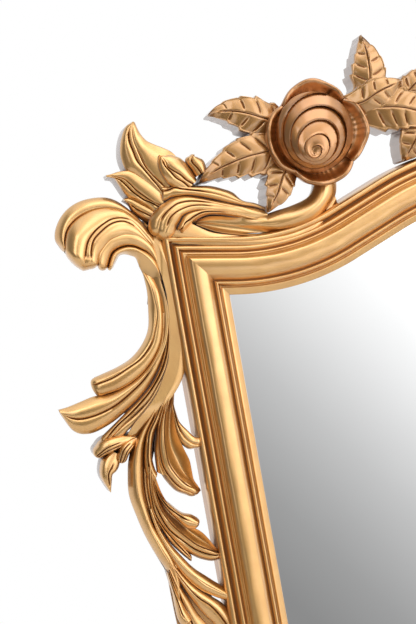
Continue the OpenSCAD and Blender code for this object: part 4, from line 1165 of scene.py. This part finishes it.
def rail(name, i0, i1, node):
    """The moulding between two points of the sight edge, with the ripple of carved wood."""
    s = Solid()
    section = np.array(SECTION)
    front = catmull(section[1:-4], 2)
    ring_s = np.concatenate([section[:1, 0], front[:, 0], section[-4:, 0]])
    ring_h = np.concatenate([section[:1, 1], front[:, 1], section[-4:, 1]])
    n = len(ring_s)
    wander = np.random.default_rng(i0 + 3)
    rows = []
    for i in range(i0, i1 + 1):
        at = SIGHT[i % len(SIGHT)]
        out = MITRE[i % len(SIGHT)]
        rows.append(front_xyz(at + np.outer(ring_s, out), ring_h))
    rings = np.array(rows)
    phase = wander.uniform(0, 6.28, 6)
    along = np.arange(len(rings))[:, None]
    ripple = 0.1 * np.sin(along * 0.37 + phase[0]) * np.sin(ring_s[None, :] * 0.21 + phase[1])
    ripple += 0.07 * np.sin(along * 0.83 + phase[2] + ring_s[None, :] * 0.5)
    ripple *= np.clip(np.minimum(along, len(rings) - 1 - along) / 4, 0, 1)
    ripple[:, ring_h < 5] = 0
    rings[:, :, 1] += ripple
    dirt = np.zeros(n)
    for place, strength, spread in HOLLOWS:
        mark = strength * np.exp(-((ring_s - place) / spread) ** 2)
        dirt = np.maximum(dirt, mark * (ring_h > 5))
    outer_wall = slice(-5, -2)
    bare_back = slice(-3, None)
    # The outer wall is darkened with painted shade.
    dirt[outer_wall] = 0.45
    wall = np.zeros(n)
    wall[bare_back] = 1
    count = len(rings)
    s.add(rings.reshape(-1, 3), capped(count, n), np.tile(dirt, count), np.tile(wall, count),
          keep_back=True)
    return s.piece(name, "mirror", "gilt_moulding", GILT_RAIL, [node], crease=50)


N_SIGHT = len(SIGHT)
TOP_END = I_CORNER + 2 * (N_HALF - 1 - I_CORNER)
rail("stile_left_carved", I_FOOT, I_CORNER, "stile_left")
rail("top_rail_carved", I_CORNER, TOP_END, "top_rail")
rail("stile_right_carved", TOP_END, TOP_END + I_CORNER - I_FOOT, "stile_right")
rail("bottom_rail_carved", N_SIGHT - I_FOOT, N_SIGHT + I_FOOT, "bottom_rail")


# ---- Castings at the crest and below: places are [x, z] from the middle of the floor ----

def crest_leaves():
    s = Solid()
    backing_disc(s, 0, CREST_Z, 50)
    lobe(s, [[0, PEAK_Z + 44, 19], [0, PEAK_Z + 58, 20], [0, PEAK_Z + 76, 20]], [(0, 15), (1, 17)],
         FLAT, edge=6, origin=MIDDLE,
         grooves=[(v, v, 0, 1, 1.6, 1.6) for v in (-0.6, -0.2, 0.2, 0.6)])
    leaf(s, [[0, 1742, 10], [0, 1756, 14], [0, 1770, 15], [0, 1784, 11], [0, 1799, 0.6]],
         [(0, 16), (0.5, 20), (1, 14)], veins=6, seed=31, origin=MIDDLE)
    for mirror in (-1, 1):
        for seed, points in enumerate([
                [[16, 1740, 9], [27, 1752, 12], [36, 1765, 12], [43, 1779, 8], [47, 1792, 0.6]],
                [[34, 1720, 10], [47, 1729, 12], [61, 1737, 12], [74, 1744, 8], [87, 1748, 0.6]],
                [[30, 1694, 12], [45, 1687, 14], [60, 1680, 13], [77, 1674, 9], [93, 1671, 0.6]]]):
            leaf(s, [[mirror * x, z, w] for x, z, w in points], [(0, 14), (0.5, 18), (1, 12)],
                 veins=6, seed=33 + seed, origin=MIDDLE)
    return s


def foot_scroll():
    s = Solid()
    lobe(s, [[-262, 312, 2], [-269, 295, 5], [-272, 275, 7], [-268, 256, 7], [-256, 242, 7],
             [-241, 236, 6], [-229, 239, 6], [-226, 246, 5]],
         [(0, 10), (0.5, 16), (0.9, 20), (1, 20)], ROUND, edge=7, tip="round", origin=MIDDLE,
         grooves=[(0.35, 0.3, 0.08, 0.95, 1.4, 1.6), (-0.3, -0.3, 0.15, 0.9, 1.4, 1.6)])
    lobe(s, [[-266, 321, 1.5], [-272, 307, 6], [-278, 290, 6.5], [-281, 273, 0.8]],
         [(0, 8), (0.5, 13), (1, 9)], FLAT, edge=6, origin=MIDDLE,
         grooves=[(0.1, 0.1, 0.1, 0.8, 1.3, 1.4)])
    lobe(s, [[-256, 246, 4], [-261, 231, 8], [-256, 216, 8.5], [-243, 204, 0.8]],
         [(0, 11), (0.5, 14), (1, 9)], FLAT, edge=6, origin=MIDDLE,
         grooves=[(0.4, 0.3, 0.1, 0.8, 1.3, 1.4), (-0.2, -0.2, 0.1, 0.85, 1.3, 1.4)])
    lobe(s, [[-268, 263, 4], [-275, 253, 6.5], [-280, 241, 6], [-283, 228, 0.8]],
         [(0, 10), (0.5, 13), (1, 8)], FLAT, edge=6, origin=MIDDLE,
         grooves=[(0.1, 0.1, 0.1, 0.8, 1.3, 1.4)])
    lobe(s, [[-240, 244, 4], [-226, 238, 6], [-208, 236, 7], [-188, 239, 5.5], [-164, 247, 0.8]],
         [(0, 12), (0.5, 15), (1, 10)], FLAT, edge=6, origin=MIDDLE,
         grooves=[(0.3, 0.2, 0.1, 0.85, 1.3, 1.4), (-0.3, -0.1, 0.1, 0.8, 1.3, 1.4)])
    return s


def lower_spray():
    s = Solid()
    lobe(s, [[-262, 338, 3], [-268, 362, 5], [-268, 392, 5.5], [-262, 430, 5.5], [-254, 470, 5.5],
             [-248, 512, 5], [-243, 560, 3.5], [-238, 602, 0.8]],
         [(0, 9), (0.4, 14), (1, 9)], ROUND, edge=6, origin=MIDDLE,
         grooves=[(0.3, 0.3, 0.04, 0.85, 1.4, 1.5), (-0.35, -0.3, 0.04, 0.8, 1.4, 1.5)])
    for seed, points in enumerate([
            [[-265, 376, 4], [-272, 394, 7.5], [-278, 414, 7.5], [-279, 432, 5], [-276, 446, 0.6]],
            [[-262, 426, 4], [-268, 444, 7.5], [-272, 464, 7], [-270, 482, 5], [-265, 496, 0.6]],
            [[-255, 468, 4], [-260, 486, 6.5], [-262, 504, 6], [-260, 522, 4], [-255, 536, 0.6]],
            [[-263, 432, 4], [-257, 420, 6.5], [-251, 408, 6], [-247, 396, 0.6]]]):
        leaf(s, points, [(0, 11), (0.5, 15), (1, 10)], veins=5, seed=51 + seed, origin=MIDDLE)
    return s


def apron_leaves():
    s = Solid()
    backing_disc(s, 0, 210, 20)
    for mirror in (-1, 1):
        leaf(s, [[mirror * 8, 215, 9], [mirror * 26, 212, 11], [mirror * 44, 213, 11],
                 [mirror * 62, 219, 8], [mirror * 80, 227, 0.6]],
             [(0, 13), (0.5, 17), (1, 11)], veins=6, seed=41, origin=MIDDLE)
        leaf(s, [[mirror * 8, 206, 6], [mirror * 22, 199, 8], [mirror * 38, 194, 8],
                 [mirror * 52, 195, 5], [mirror * 64, 199, 0.6]],
             [(0, 11), (0.5, 14), (1, 9)], veins=5, seed=43, origin=MIDDLE)
    return s


SCROLLS = (corner_scroll, shoulder_scroll, side_spray, foot_scroll, lower_spray)
for build in SCROLLS + (rose_leaves, garland):
    slot, material = ("gilt_scrolls", GILT_CAST) if build in SCROLLS else ("gilt_leaves", GILT_LEAF)
    solid = build()
    for side, mirror in SIDES:
        node = f"{build.__name__}_{side}"
        solid.piece(f"{node}_carved", "mirror", slot, material, [node], mirror)
crest_leaves().piece("crest_leaves_carved", "mirror", "gilt_leaves", GILT_LEAF, ["crest_leaves"])
apron_leaves().piece("apron_leaves_carved", "mirror", "gilt_leaves", GILT_LEAF, ["apron_leaves"])


# ---- Roses ----

# Open petals round the bulb: [from angle, to angle] and the reach at five places between.
COLLAR = [(52, 145, [0.86, 0.95, 1.02, 0.96, 0.86]), (-38, 52, [0.88, 0.95, 1.01, 0.97, 0.84]),
          (-120, -38, [0.90, 0.98, 1.0, 0.98, 0.90]), (-215, -120, [0.86, 0.98, 1.0, 1.0, 0.9])]


def rose(x, z, radius, petals=5, seed=1, look=(-4.5, -19.0), aside=-3.0):
    """A garden rose: a wrapped bulb that faces down, in an open collar of wavy petals.

    It is laid out at the shoulder rose's size. look is where the bulb's tip lies from its middle.
    """
    s = Solid()
    base = 8.0
    k = radius / SHOULDER_ROSE_R
    lift = base * (1 - k)
    chance = np.random.default_rng(seed)
    offset = np.array([x, z])
    # bulb
    angles = np.linspace(0, 2 * math.pi, 193)[:-1]
    share = np.concatenate([np.linspace(0, 1, 150)[1:], [1.012, 1.016]])
    phases = chance.uniform(0, 6.28, 4)
    rows = []
    marks = []
    for r in share:
        inner = min(r, 1.0)
        middle = np.array(look) * (1 - inner ** 1.1) + np.array([aside, 0.0])
        flow = 0.16 * np.sin(angles * 2 + phases[0]) + 0.12 * np.sin(angles + phases[1] + 4 * inner)
        turn = petals * inner ** 0.92 + angles / (2 * math.pi) + flow * min(inner * 3, 1)
        part = turn - np.floor(turn)
        lip = np.exp(-(part / 0.10) ** 2) * 0.7 + (1 - part) ** 1.2
        gap = np.exp(-((1 - part) / 0.07) ** 2)
        upper = 0.5 + 0.5 * np.sin(angles)
        strength = (0.85 + 0.3 * np.sin(angles + 2.1 * np.floor(turn))) * min(1.0, 0.3 + inner)
        strength = strength * np.clip(0.15 + 1.1 * upper + 1.5 * (inner < 0.3), 0, 1)
        height = 40 - 14 * inner ** 2.6 - 3.0 * math.exp(-(inner / 0.14) ** 2)
        height = height + 1.7 * strength * (lip - 0.6) - 0.8 * gap * strength
        # Dark in the gaps between petals and towards each petal's inner wall: patina and painted shade.
        marks.append(np.clip((0.95 * gap + 0.2 * part) * np.clip(strength + 0.2, 0, 1), 0, 1))
        if r > 1:
            height = np.full_like(angles, (r < 1.014) * 6.0 + base)
        reach = 32.6 * r * (1 + 0.012 * np.sin(3 * angles + phases[2]))
        xz = middle + np.column_stack([np.cos(angles) * 0.97, np.sin(angles)]) * reach[:, None]
        rows.append(front_xyz(xz * k + offset, height * k + lift))
    count = len(angles)
    middle_point = rows[0].mean(axis=0)[None]
    verts = np.concatenate([np.array(rows).reshape(-1, 3), middle_point])
    faces = ring_faces(len(rows), count)
    centre = len(verts) - 1
    faces += [(centre, i, (i + 1) % count) for i in range(count)]
    faces.append(tuple(range((len(rows) - 1) * count, len(rows) * count)))
    s.add(verts, faces, np.concatenate([np.array(marks).ravel(), [0.4]]))
    # collar
    radial = [(0.0, 19.0, 25.0), (0.12, 18.0, 29.5), (0.3, 18.0, 32.0), (0.5, 19.3, 34.8),
              (0.7, 21.8, 37.4), (0.82, 23.8, 39.2), (0.9, 24.9, 40.6), (0.97, 25.0, 41.8),
              (1.03, 24.0, 42.8), (1.06, 21.0, 43.2), (1.08, 15.0, 42.2), (1.1, base, 39.0),
              (1.1, base, 24.0)]
    rows = []
    marks = []
    for layer, (a0, a1, reach) in enumerate(COLLAR):
        for b in np.linspace(0, 1, 57):
            angle = math.radians(a0 + (a1 - a0) * b)
            size = float(ease([(i / 4, r) for i, r in enumerate(reach)], np.array([b]))[0])
            wave = math.sin(2.5 * 2 * math.pi * b + phases[3] + layer)
            drop = 2.6 * (1 - min(b / 0.12, 1)) ** 2 + 1.2 * (1 - min((1 - b) / 0.1, 1)) ** 2
            row = []
            dark = []
            for q, h, r in radial:
                grow = 1 + (size - 1) * min(q * 1.2, 1)
                rib = 0.28 * math.sin(b * 55 + 3 * math.sin(b * 9 + layer))
                rib *= math.sin(math.pi * min(q, 1))
                up = (wave * 0.9 - drop) * min(q, 1) ** 2
                h_now = h if q >= 1.1 else h + rib + up
                out = r * grow * k
                row.append([math.cos(angle) * out, math.sin(angle) * out, h_now * k + lift])
                # The collar darkens next to the bulb and in its ribs' valleys: patina and painted shade.
                inside = 0.42 * math.exp(-((q - 0.25) / 0.32) ** 2) if q < 0.9 else 0.0
                dark.append(min(1.0, inside * (1 - 0.8 * rib / 0.28)))
            rows.append(row)
            marks.append(dark)
    grid = np.array(rows)
    verts = front_xyz(grid[:, :, :2] + offset, grid[:, :, 2])
    s.add(verts.reshape(-1, 3), ring_faces(len(rows), len(radial), closed_rings=True),
          np.array(marks).ravel())
    return s


left_rose = rose(-183, 1660, SHOULDER_ROSE_R)
crest_rose = rose(0, CREST_Z, CREST_ROSE_R, seed=4, look=(0.0, -15.0), aside=0.0)
apron_rose = rose(0, APRON_Z, APRON_ROSE_R, petals=4, seed=6, look=(0.0, -10.0), aside=0.0)
for node, flower, mirror in (("shoulder_rose_left", left_rose, (1, 1, 1)),
                             ("shoulder_rose_right", left_rose, FLIP),
                             ("crest_rose", crest_rose, (1, 1, 1)),
                             ("apron_rose", apron_rose, (1, 1, 1))):
    flower.piece(f"{node}_carved", "mirror", "gilt_roses", GILT_ROSE, [node], mirror, crease=60)


# ---- Stand, left side, in absolute places ----

POST_X = 318.0
BLOCK_HALF = 27.0
PLINTH_HALF = 32.0
STRETCHER_Z = 112.0
NECK_TOP = 1045.0
LEG_CURVE = [[20, 100, 30], [60, 112, 26], [105, 98, 19], [145, 62, 15], [185, 32, 13],
             [220, 24, 14], [242, 34, 11], [250, 52, 6]]
FOOT_Y = 222.0
GLIDE_T = 6.0
SHAFT = (221.0, 880.0)


def shaft_carving(z, angle):
    """Six leaves round the foot of the shaft and eight long flutes above them."""
    middle = np.abs(np.cos(3 * angle))
    top = 255 + 75 * middle ** 0.8
    inside = bump_between(z, SHAFT[0], top, 5) * (z > SHAFT[0])
    edge = np.exp(-((z - top) / 3.5) ** 2) * (z > SHAFT[0] + 4)
    rib = np.exp(-(np.sin(3 * angle) / 0.13) ** 2) * inside * (z < top - 8)
    flute = (0.5 + 0.5 * np.cos(8 * angle)) ** 1.5 * bump_between(z, 370, 840, 25)
    cut = -1.3 * inside * (0.3 + 0.7 * middle) + 1.1 * rib + 1.5 * flute
    dark = np.clip(0.8 * edge + 0.8 * rib + 0.35 * flute ** 4, 0, 1)
    return cut, dark


def rosette(solid, centre, axis, radius, thick, petals=8):
    """Adds a turned flower whose petals open towards the end of its axis."""
    def carve(run, angle):
        inside = bump_between(run, 0.2 * thick, 0.75 * thick, 0.15 * thick)
        valley = np.abs(np.cos(0.5 * petals * angle)) ** 6 * inside
        return 0.16 * radius * valley, 0.9 * valley
    profile = [[0, 0.9 * radius], [0.25 * thick, radius], [0.45 * thick, 0.95 * radius],
               [0.6 * thick, 0.75 * radius], [0.62 * thick, 0.55 * radius], [0.6 * thick, 0.45 * radius],
               [0.7 * thick, 0.4 * radius], [0.92 * thick, 0.28 * radius], [thick, 0.05 * radius]]
    turned(solid, resample(catmull(profile), 0.06 * radius), centre, axis, 72, carve)


def post():
    s = Solid()
    foot = turning([[125, 12], [164, 12]], [[165, 20], [167, 23], [172.5, 24], [178, 23], [180, 20.5]],
                   [[180.5, 18.6], [184, 17.6], [188, 18.2]],
                   [[188.5, 19], [194, 21.5], [200, 22], [206, 20.5], [209, 18]],
                   [[210, 16.6], [215, 16], [220, 16.8]])
    shaft = resample(catmull([[SHAFT[0], 17], [260, 20], [330, 21.6], [420, 22], [560, 20.8],
                              [700, 19], [800, 17], [SHAFT[1], 15]]), 3.5)
    head = turning([[884, 15.5], [888, 19], [895, 20.2], [902, 18.5], [905, 15.5]],
                   [[906, 14.2], [910, 13.8], [914, 15]],
                   [[915, 17], [924, 21], [935, 22.4], [946, 19.5], [949, 17.5]],
                   [[950, 16.8], [955, 18.5], [961, 24], [966, 24]])
    turned(s, np.vstack([foot, shaft, head]), (-POST_X, 0, 0), "z", 96, shaft_carving)
    block(s, (-POST_X, 0), BLOCK_HALF, BLOCK_HALF,
          [(965, 3), (965.5, 2), (968, 0), (1032, 0), (1034.5, 2), (1035, 3)])
    turned(s, turning([[1034, 20], [1036, 20.5], [1040, 17], [1044, 19], [NECK_TOP, 19.5]]),
           (-POST_X, 0, 0))
    rosette(s, (-POST_X, -BLOCK_HALF + 0.5, PIVOT_Z), "y", 19, 5)
    rosette(s, (-POST_X, BLOCK_HALF - 0.5, PIVOT_Z), "back", 19, 5)
    return s


def finial():
    s = Solid()

    def gadroons(z, angle):
        ball = bump_between(z, 27, 52, 6)
        twist = 5 * angle + 0.045 * (z - 27)
        valley = np.abs(np.cos(twist)) ** 5 * ball
        return 1.8 * valley, 0.85 * valley

    profile = turning([[-18, 5], [-1, 5]], [[0, 19], [2, 20.5], [5, 21], [7, 20]],
                      [[8, 17], [12, 12.5], [15, 11]], [[15.5, 12], [17.5, 13], [19.5, 12]])
    ball = resample(catmull([[20.5, 11], [24, 14.5], [30, 21], [38, 24], [46, 22.5], [53, 17.5],
                             [59, 10], [62, 6.5], [65, 5.6], [68, 3.4], [69, 0.6]]), 1.0)
    turned(s, np.vstack([profile, ball]), (-POST_X, 0, NECK_TOP), "z", 100, gadroons)
    return s


def plinth():
    s = Solid()
    block(s, (-POST_X, 0), 36, 36,
          [(65, 7), (66, 5), (68, 4), (150, 4), (154, 3), (156.5, 0.5), (157, 0), (163, 0), (165, 2)])
    for y, axis in ((-PLINTH_HALF + 0.4, "y"), (PLINTH_HALF - 0.4, "back")):
        rosette(s, (-POST_X, y, 143), axis, 9, 3.5, 6)
    rosette(s, (-POST_X - PLINTH_HALF + 0.4, 0, 138), "outward", 11, 4)
    return s


def leg():
    s = Solid()
    rows = resample(catmull(LEG_CURVE), 2.4)
    path = rows[:, :2]
    half = rows[:, 2:]
    normal = normals_of(path)
    t = np.linspace(0, 1, len(path))[:, None]
    angles = np.linspace(0, 2 * math.pi, 145)[None, :-1]
    across = np.sign(np.cos(angles)) * np.abs(np.cos(angles)) ** 0.5
    up = np.sign(np.sin(angles)) * np.abs(np.sin(angles)) ** 0.5
    top = np.clip((up - 0.9) / 0.08, 0, 1)
    flank = np.clip((np.abs(across) - 0.92) / 0.06, 0, 1)
    lines = np.exp(-((np.abs(across) - 0.62) / 0.055) ** 2) * top * bump_between(t, 0.42, 0.9, 0.06)
    trough = np.exp(-((np.abs(up) - 0.66) / 0.07) ** 2) * flank * bump_between(t, 0.06, 0.93, 0.04)
    reach = 0.9 * np.sqrt(np.clip(1 - t / 0.44, 0, 1)) * (0.85 + 0.15 * np.cos(t * 150))
    inside = np.clip((reach - np.abs(across)) / 0.06, 0, 1) * top
    veins = np.exp(-(np.sin(t * 75 + 2.2 * np.abs(across)) / 0.22) ** 2) * inside * (np.abs(across) > 0.1)
    rib = np.exp(-(across / 0.06) ** 2) * inside
    height = up * half + 1.8 * inside - 1.1 * rib - 0.5 * veins - 1.4 * lines
    width = np.sign(across) * (18 * np.abs(across) - 1.3 * trough)
    y = path[:, :1] + normal[:, :1] * height
    z = path[:, 1:] + normal[:, 1:] * height
    rings = np.stack([-POST_X + width, np.maximum(y, 31.4), np.maximum(z, GLIDE_T)], axis=-1)
    dark = np.clip(0.9 * lines + 0.75 * trough + 0.9 * rib + 0.6 * veins, 0, 1)
    s.add(rings.reshape(-1, 3), capped(len(path), angles.size), dark.ravel())
    block(s, (-POST_X, FOOT_Y), 18, 18, [(GLIDE_T, 1), (GLIDE_T + 1, 0), (20, 0)])
    for axis, x in (("outward", -POST_X - 17.4), ("inward", -POST_X + 17.4)):
        rosette(s, (x, 238, 36), axis, 10, 3.5, 6)
    return s


def stretcher():
    s = Solid()
    half = turning([[300, 9], [286.5, 9]], [[286, 12], [284, 13.5], [279, 13.5], [276.5, 12.5]],
                   [[276, 14], [273, 16.5], [270, 17], [267, 16.5], [264, 14]],
                   [[263, 12], [256, 11.4], [251, 12]], [[250, 14], [247, 15], [244, 14]],
                   [[243, 12.5], [190, 15], [120, 17], [70, 17.6], [46, 18]],
                   [[45, 20], [41, 21], [37, 20], [35.5, 17]])
    profile = np.vstack([half * [-1, 1], half[::-1]])

    def reeds(x, angle):
        belly = bump_between(np.abs(x), 52, 225, 12)
        valley = np.abs(np.cos(4 * angle + 0.02 * x)) ** 6 * belly
        return 1.6 * valley, 0.85 * valley

    fine = []
    for a, b in zip(profile, profile[1:]):
        parts = max(int(np.linalg.norm(b - a) / 4), 1)
        fine += [a + (b - a) * k / parts for k in range(parts)]
    turned(s, np.array(fine + [profile[-1]]), (0, 0, STRETCHER_Z), "x", 80, reeds)
    block(s, (0, 0), 34, 17, [(STRETCHER_Z + z, inset) for z, inset in
                              ((-19, 3), (-18.5, 2), (-16, 0), (16, 0), (18.5, 2), (19, 3))])
    return s


def knob():
    s = Solid()

    def flutes(x, angle):
        grip = bump_between(-x, 357 + 1.5, 378, 5)
        valley = (0.5 + 0.5 * np.cos(8 * angle)) ** 1.6 * grip
        return 3.0 * valley, 0.5 * valley ** 3

    back = turning([[347.3, 16], [348.5, 20], [351, 22], [353.5, 21], [355, 19]])
    grip = resample(catmull([[355.5, 18.6], [357, 20.4], [361, 22], [368, 22], [375, 21], [380, 18],
                             [382.5, 14]]), 0.8)
    tip = turning([[382.8, 12.5], [383.5, 11.5], [384, 9]],
                  [[384.2, 8.4], [385, 6.5], [385.3, 3], [385.3, 0.3]])
    turned(s, np.vstack([back, grip, tip]) * [-1, 1], (0, 0, PIVOT_Z), "x", 128, flutes)
    return s


def boss():
    s = Solid()
    profile = turning([[218, 9], [227.5, 9]], [[228, 14.5], [229.5, 16], [233, 16], [235, 14.5]],
                      [[235.5, 12.6], [242, 11.6], [250, 12.8]], [[250.5, 13.6], [253, 14.6], [255.5, 13.8]],
                      [[256, 15], [258, 16], [264, 16], [266, 15]])
    turned(s, profile * [-1, 1], (0, 0, PIVOT_Z), "x")
    return s


def collar():
    s = Solid()
    profile = turning([[267.8, 12], [268.6, 13.6], [271, 14], [273, 13]],
                      [[273.5, 11.4], [279, 10.6], [284.5, 11.4]],
                      [[285, 13], [287, 14], [290, 14], [291, 13.4]])
    turned(s, profile * [-1, 1], (0, 0, PIVOT_Z), "x")
    return s


for build in (post, finial, plinth):
    solid = build()
    for side, mirror in SIDES:
        node = f"{build.__name__}_{side}"
        solid.piece(f"{node}_turned", "stand", "gilt_wood", GILT_STAND, [node], mirror)
solid = leg()
for side, sx in (("left", 1), ("right", -1)):
    for end, sy in (("front", -1), ("back", 1)):
        solid.piece(f"leg_{end}_{side}_carved", "stand", "gilt_wood", GILT_STAND,
                    [f"leg_{end}_{side}"], (sx, sy, 1))
stretcher().piece("stretcher_turned", "stand", "gilt_wood", GILT_STAND, ["stretcher"])
solid = Solid()
rosette(solid, (0, -17, STRETCHER_Z), "y", 23, 15, 10)
solid.piece("stretcher_rosette_carved", "stand", "gilt_wood", GILT_STAND, ["stretcher_rosette"])
for side, mirror in SIDES:
    boss().piece(f"pivot_boss_{side}_turned", "mirror", "gilt_wood", GILT_STAND,
                 [f"pivot_boss_{side}"], mirror)
    knob().piece(f"knob_{side}_turned", f"knob_{side}", "gilt_knobs", GILT_STAND,
                 [f"knob_{side}"], mirror)


# ---- Materials of the CAD nodes that stay ----

def dress(material, *names):
    """Gives CAD nodes a material."""
    for name in names:
        obj = frame["nodes"][name]
        obj.data.materials.clear()
        obj.data.materials.append(material)


BRASS = brass()
for side, mirror in SIDES:
    collar().piece(f"pivot_collar_{side}_turned", "stand", "brass", BRASS,
                   [f"pivot_collar_{side}"], mirror, crease=30)
solid = Solid()
for turn in ("x", "outward"):
    turned(solid, turning([[345, 17], [345.6, 18], [346.4, 17.6], [347, 16.4]], [[347, 5], [345, 5]]),
           (0, 0, PIVOT_Z), turn)
solid.piece("escutcheons_turned", "stand", "brass", BRASS, ["escutcheons"], crease=30)
solid = Solid()
for turn in ("x", "outward"):
    turned(solid, turning([[270, 4], [349.8, 4]],
                          [[350, 8.6], [351, 9], [352.6, 8.4], [354.4, 5.5], [355, 0.4]]),
           (0, 0, STRETCHER_Z), turn, 48)
solid.piece("stretcher_bolts_turned", "stand", "brass", BRASS, ["stretcher_bolts"], crease=30)
dress(mirror_glass(), "mirror_glass")
dress(hardboard(), "backing_board")
dress(foam(), "foam_sheet")
dress(zinc(), "backing_clips", "clip_screws", "corner_plates", "corner_screws", "leg_rods")
dress(BRASS, "knob_bolt_left", "knob_bolt_right", "pivot_sleeve_left", "pivot_sleeve_right",
      "pivot_insert_left", "pivot_insert_right")
dress(felt(), "glides", "friction_washers")


# ---- Stage, light and camera ----

def world():
    """A white room behind the mirror, and in front of it a graded wall with four soft boxes."""
    w = bpy.data.worlds.new("studio")
    bpy.context.scene.world = w
    w.use_nodes = True
    tree = w.node_tree
    tree.nodes.clear()

    def new(kind, **values):
        node = tree.nodes.new(kind)
        for key, value in values.items():
            setattr(node, key, value)
        return node

    def put(value, socket):
        if isinstance(value, (int, float)):
            socket.default_value = value
        else:
            tree.links.new(value, socket)

    def calc(operation, a, b=0.0):
        node = new("ShaderNodeMath", operation=operation)
        put(a, node.inputs[0])
        put(b, node.inputs[1])
        return node.outputs[0]

    def step(value, low, high):
        node = new("ShaderNodeMapRange", clamp=True, interpolation_type="SMOOTHSTEP")
        node.inputs["From Min"].default_value = low
        node.inputs["From Max"].default_value = high
        put(value, node.inputs["Value"])
        return node.outputs["Result"]

    coords = new("ShaderNodeTexCoord")
    split = new("ShaderNodeSeparateXYZ")
    tree.links.new(coords.outputs["Generated"], split.inputs[0])
    x, y, z = split.outputs

    def window(x0, x1, z0, z1, soft):
        """1 where the direction lies in a box of x and z, in front of the mirror."""
        left_right = calc("MULTIPLY", step(x, x0 - soft, x0), step(x, x1 + soft, x1))
        up_down = calc("MULTIPLY", step(z, z0 - soft, z0), step(z, z1 + soft, z1))
        return calc("MULTIPLY", calc("MULTIPLY", left_right, up_down), step(y, 0.25, -0.05))

    low, high = WALL_SPAN
    slant = calc("DIVIDE", calc("SUBTRACT", calc("ADD", x, z), low), high - low)
    ramp = new("ShaderNodeValToRGB")
    tree.links.new(slant, ramp.inputs["Fac"])
    elements = ramp.color_ramp.elements
    elements.remove(elements[1])
    for i, (place, value) in enumerate(WALL):
        at = (place - low) / (high - low)
        element = elements[0] if i == 0 else elements.new(at)
        element.position = at
        element.color = (value, value, value, 1)
    grey = new("ShaderNodeSeparateColor")
    tree.links.new(ramp.outputs["Color"], grey.inputs[0])
    light = grey.outputs[0]
    for box, power in BOXES:
        light = calc("ADD", light, calc("MULTIPLY", window(*box), power))
    behind = step(y, -0.1, 0.4)
    light = calc("ADD", calc("MULTIPLY", light, calc("SUBTRACT", 1.0, behind)), behind)
    path = new("ShaderNodeLightPath")
    seen = path.outputs["Is Camera Ray"]
    light = calc("ADD", calc("MULTIPLY", light, calc("SUBTRACT", 1.0, seen)), seen)
    back = new("ShaderNodeBackground")
    back.inputs["Color"].default_value = (1, 1, 1, 1)
    tree.links.new(light, back.inputs["Strength"])
    out = new("ShaderNodeOutputWorld")
    tree.links.new(back.outputs[0], out.inputs["Surface"])


def floor():
    """A pale round floor."""
    radius = 2.4
    count = 96
    angles = np.linspace(0, 2 * math.pi, count + 1)[:-1]
    mesh = bpy.data.meshes.new("floor")
    ring = [(radius * math.cos(a), radius * math.sin(a), 0) for a in angles]
    mesh.from_pydata(ring, [], [tuple(range(count))])
    n = Nodes("pale_floor")
    cloud = n.noise(3, 2)
    n.link(n.mix(cloud, (0.66, 0.66, 0.65), (0.72, 0.72, 0.71)), n.shader.inputs["Base Color"])
    n.set(Roughness=0.7)
    mesh.materials.append(n.material)
    obj = bpy.data.objects.new("floor", mesh)
    bpy.context.scene.collection.objects.link(obj)


def area_light(name, place, target, size, power):
    data = bpy.data.lights.new(name, "AREA")
    data.shape = "RECTANGLE"
    data.size, data.size_y = size
    data.energy = power
    obj = bpy.data.objects.new(name, data)
    obj.location = place
    obj.rotation_euler = (Vector(target) - Vector(place)).to_track_quat("-Z", "Y").to_euler()
    bpy.context.scene.collection.objects.link(obj)
    return obj


def camera():
    """Level, close to the top left corner and turned a little to the right."""
    data = bpy.data.cameras.new("camera")
    data.lens = 70
    data.sensor_width = 36
    data.sensor_height = 36
    data.sensor_fit = "AUTO"
    obj = bpy.data.objects.new("camera", data)
    obj.location = (-0.457, -0.962, 1.515)
    turn = math.radians(11)
    aim = Vector((math.sin(turn), math.cos(turn), 0))
    obj.rotation_euler = aim.to_track_quat("-Z", "Y").to_euler()
    bpy.context.scene.collection.objects.link(obj)
    bpy.context.scene.camera = obj


# The graded wall: (x + z of the direction, brightness), and the span that they lie in.
WALL_SPAN = (-0.4, 0.6)
WALL = [(-0.4, 0.25), (-0.2, 0.25), (-0.06, 0.27), (0.02, 0.285), (0.09, 0.38), (0.134, 0.47),
        (0.187, 0.60), (0.232, 0.74), (0.294, 0.95), (0.344, 1.1), (0.42, 1.5), (0.55, 1.3)]
# Soft boxes: the box of directions (x0, x1, z0, z1, soft edge) and the power.
BOXES = [
    ((-0.6, -0.36, -0.25, 0.2, 0.07), 1.2),
    ((0.46, 0.8, 0.06, 0.5, 0.12), 1.6),
    ((-0.1, 0.5, 0.68, 0.92, 0.1), 1.5),
    ((0.2, 0.6, -0.5, -0.3, 0.05), 1.3),
]
world()
floor()
area_light("key", (-1.3, -1.7, 2.5), (-0.2, 0, 1.4), (0.9, 1.2), 8)
camera()
bpy.context.scene.view_settings.view_transform = "Standard"
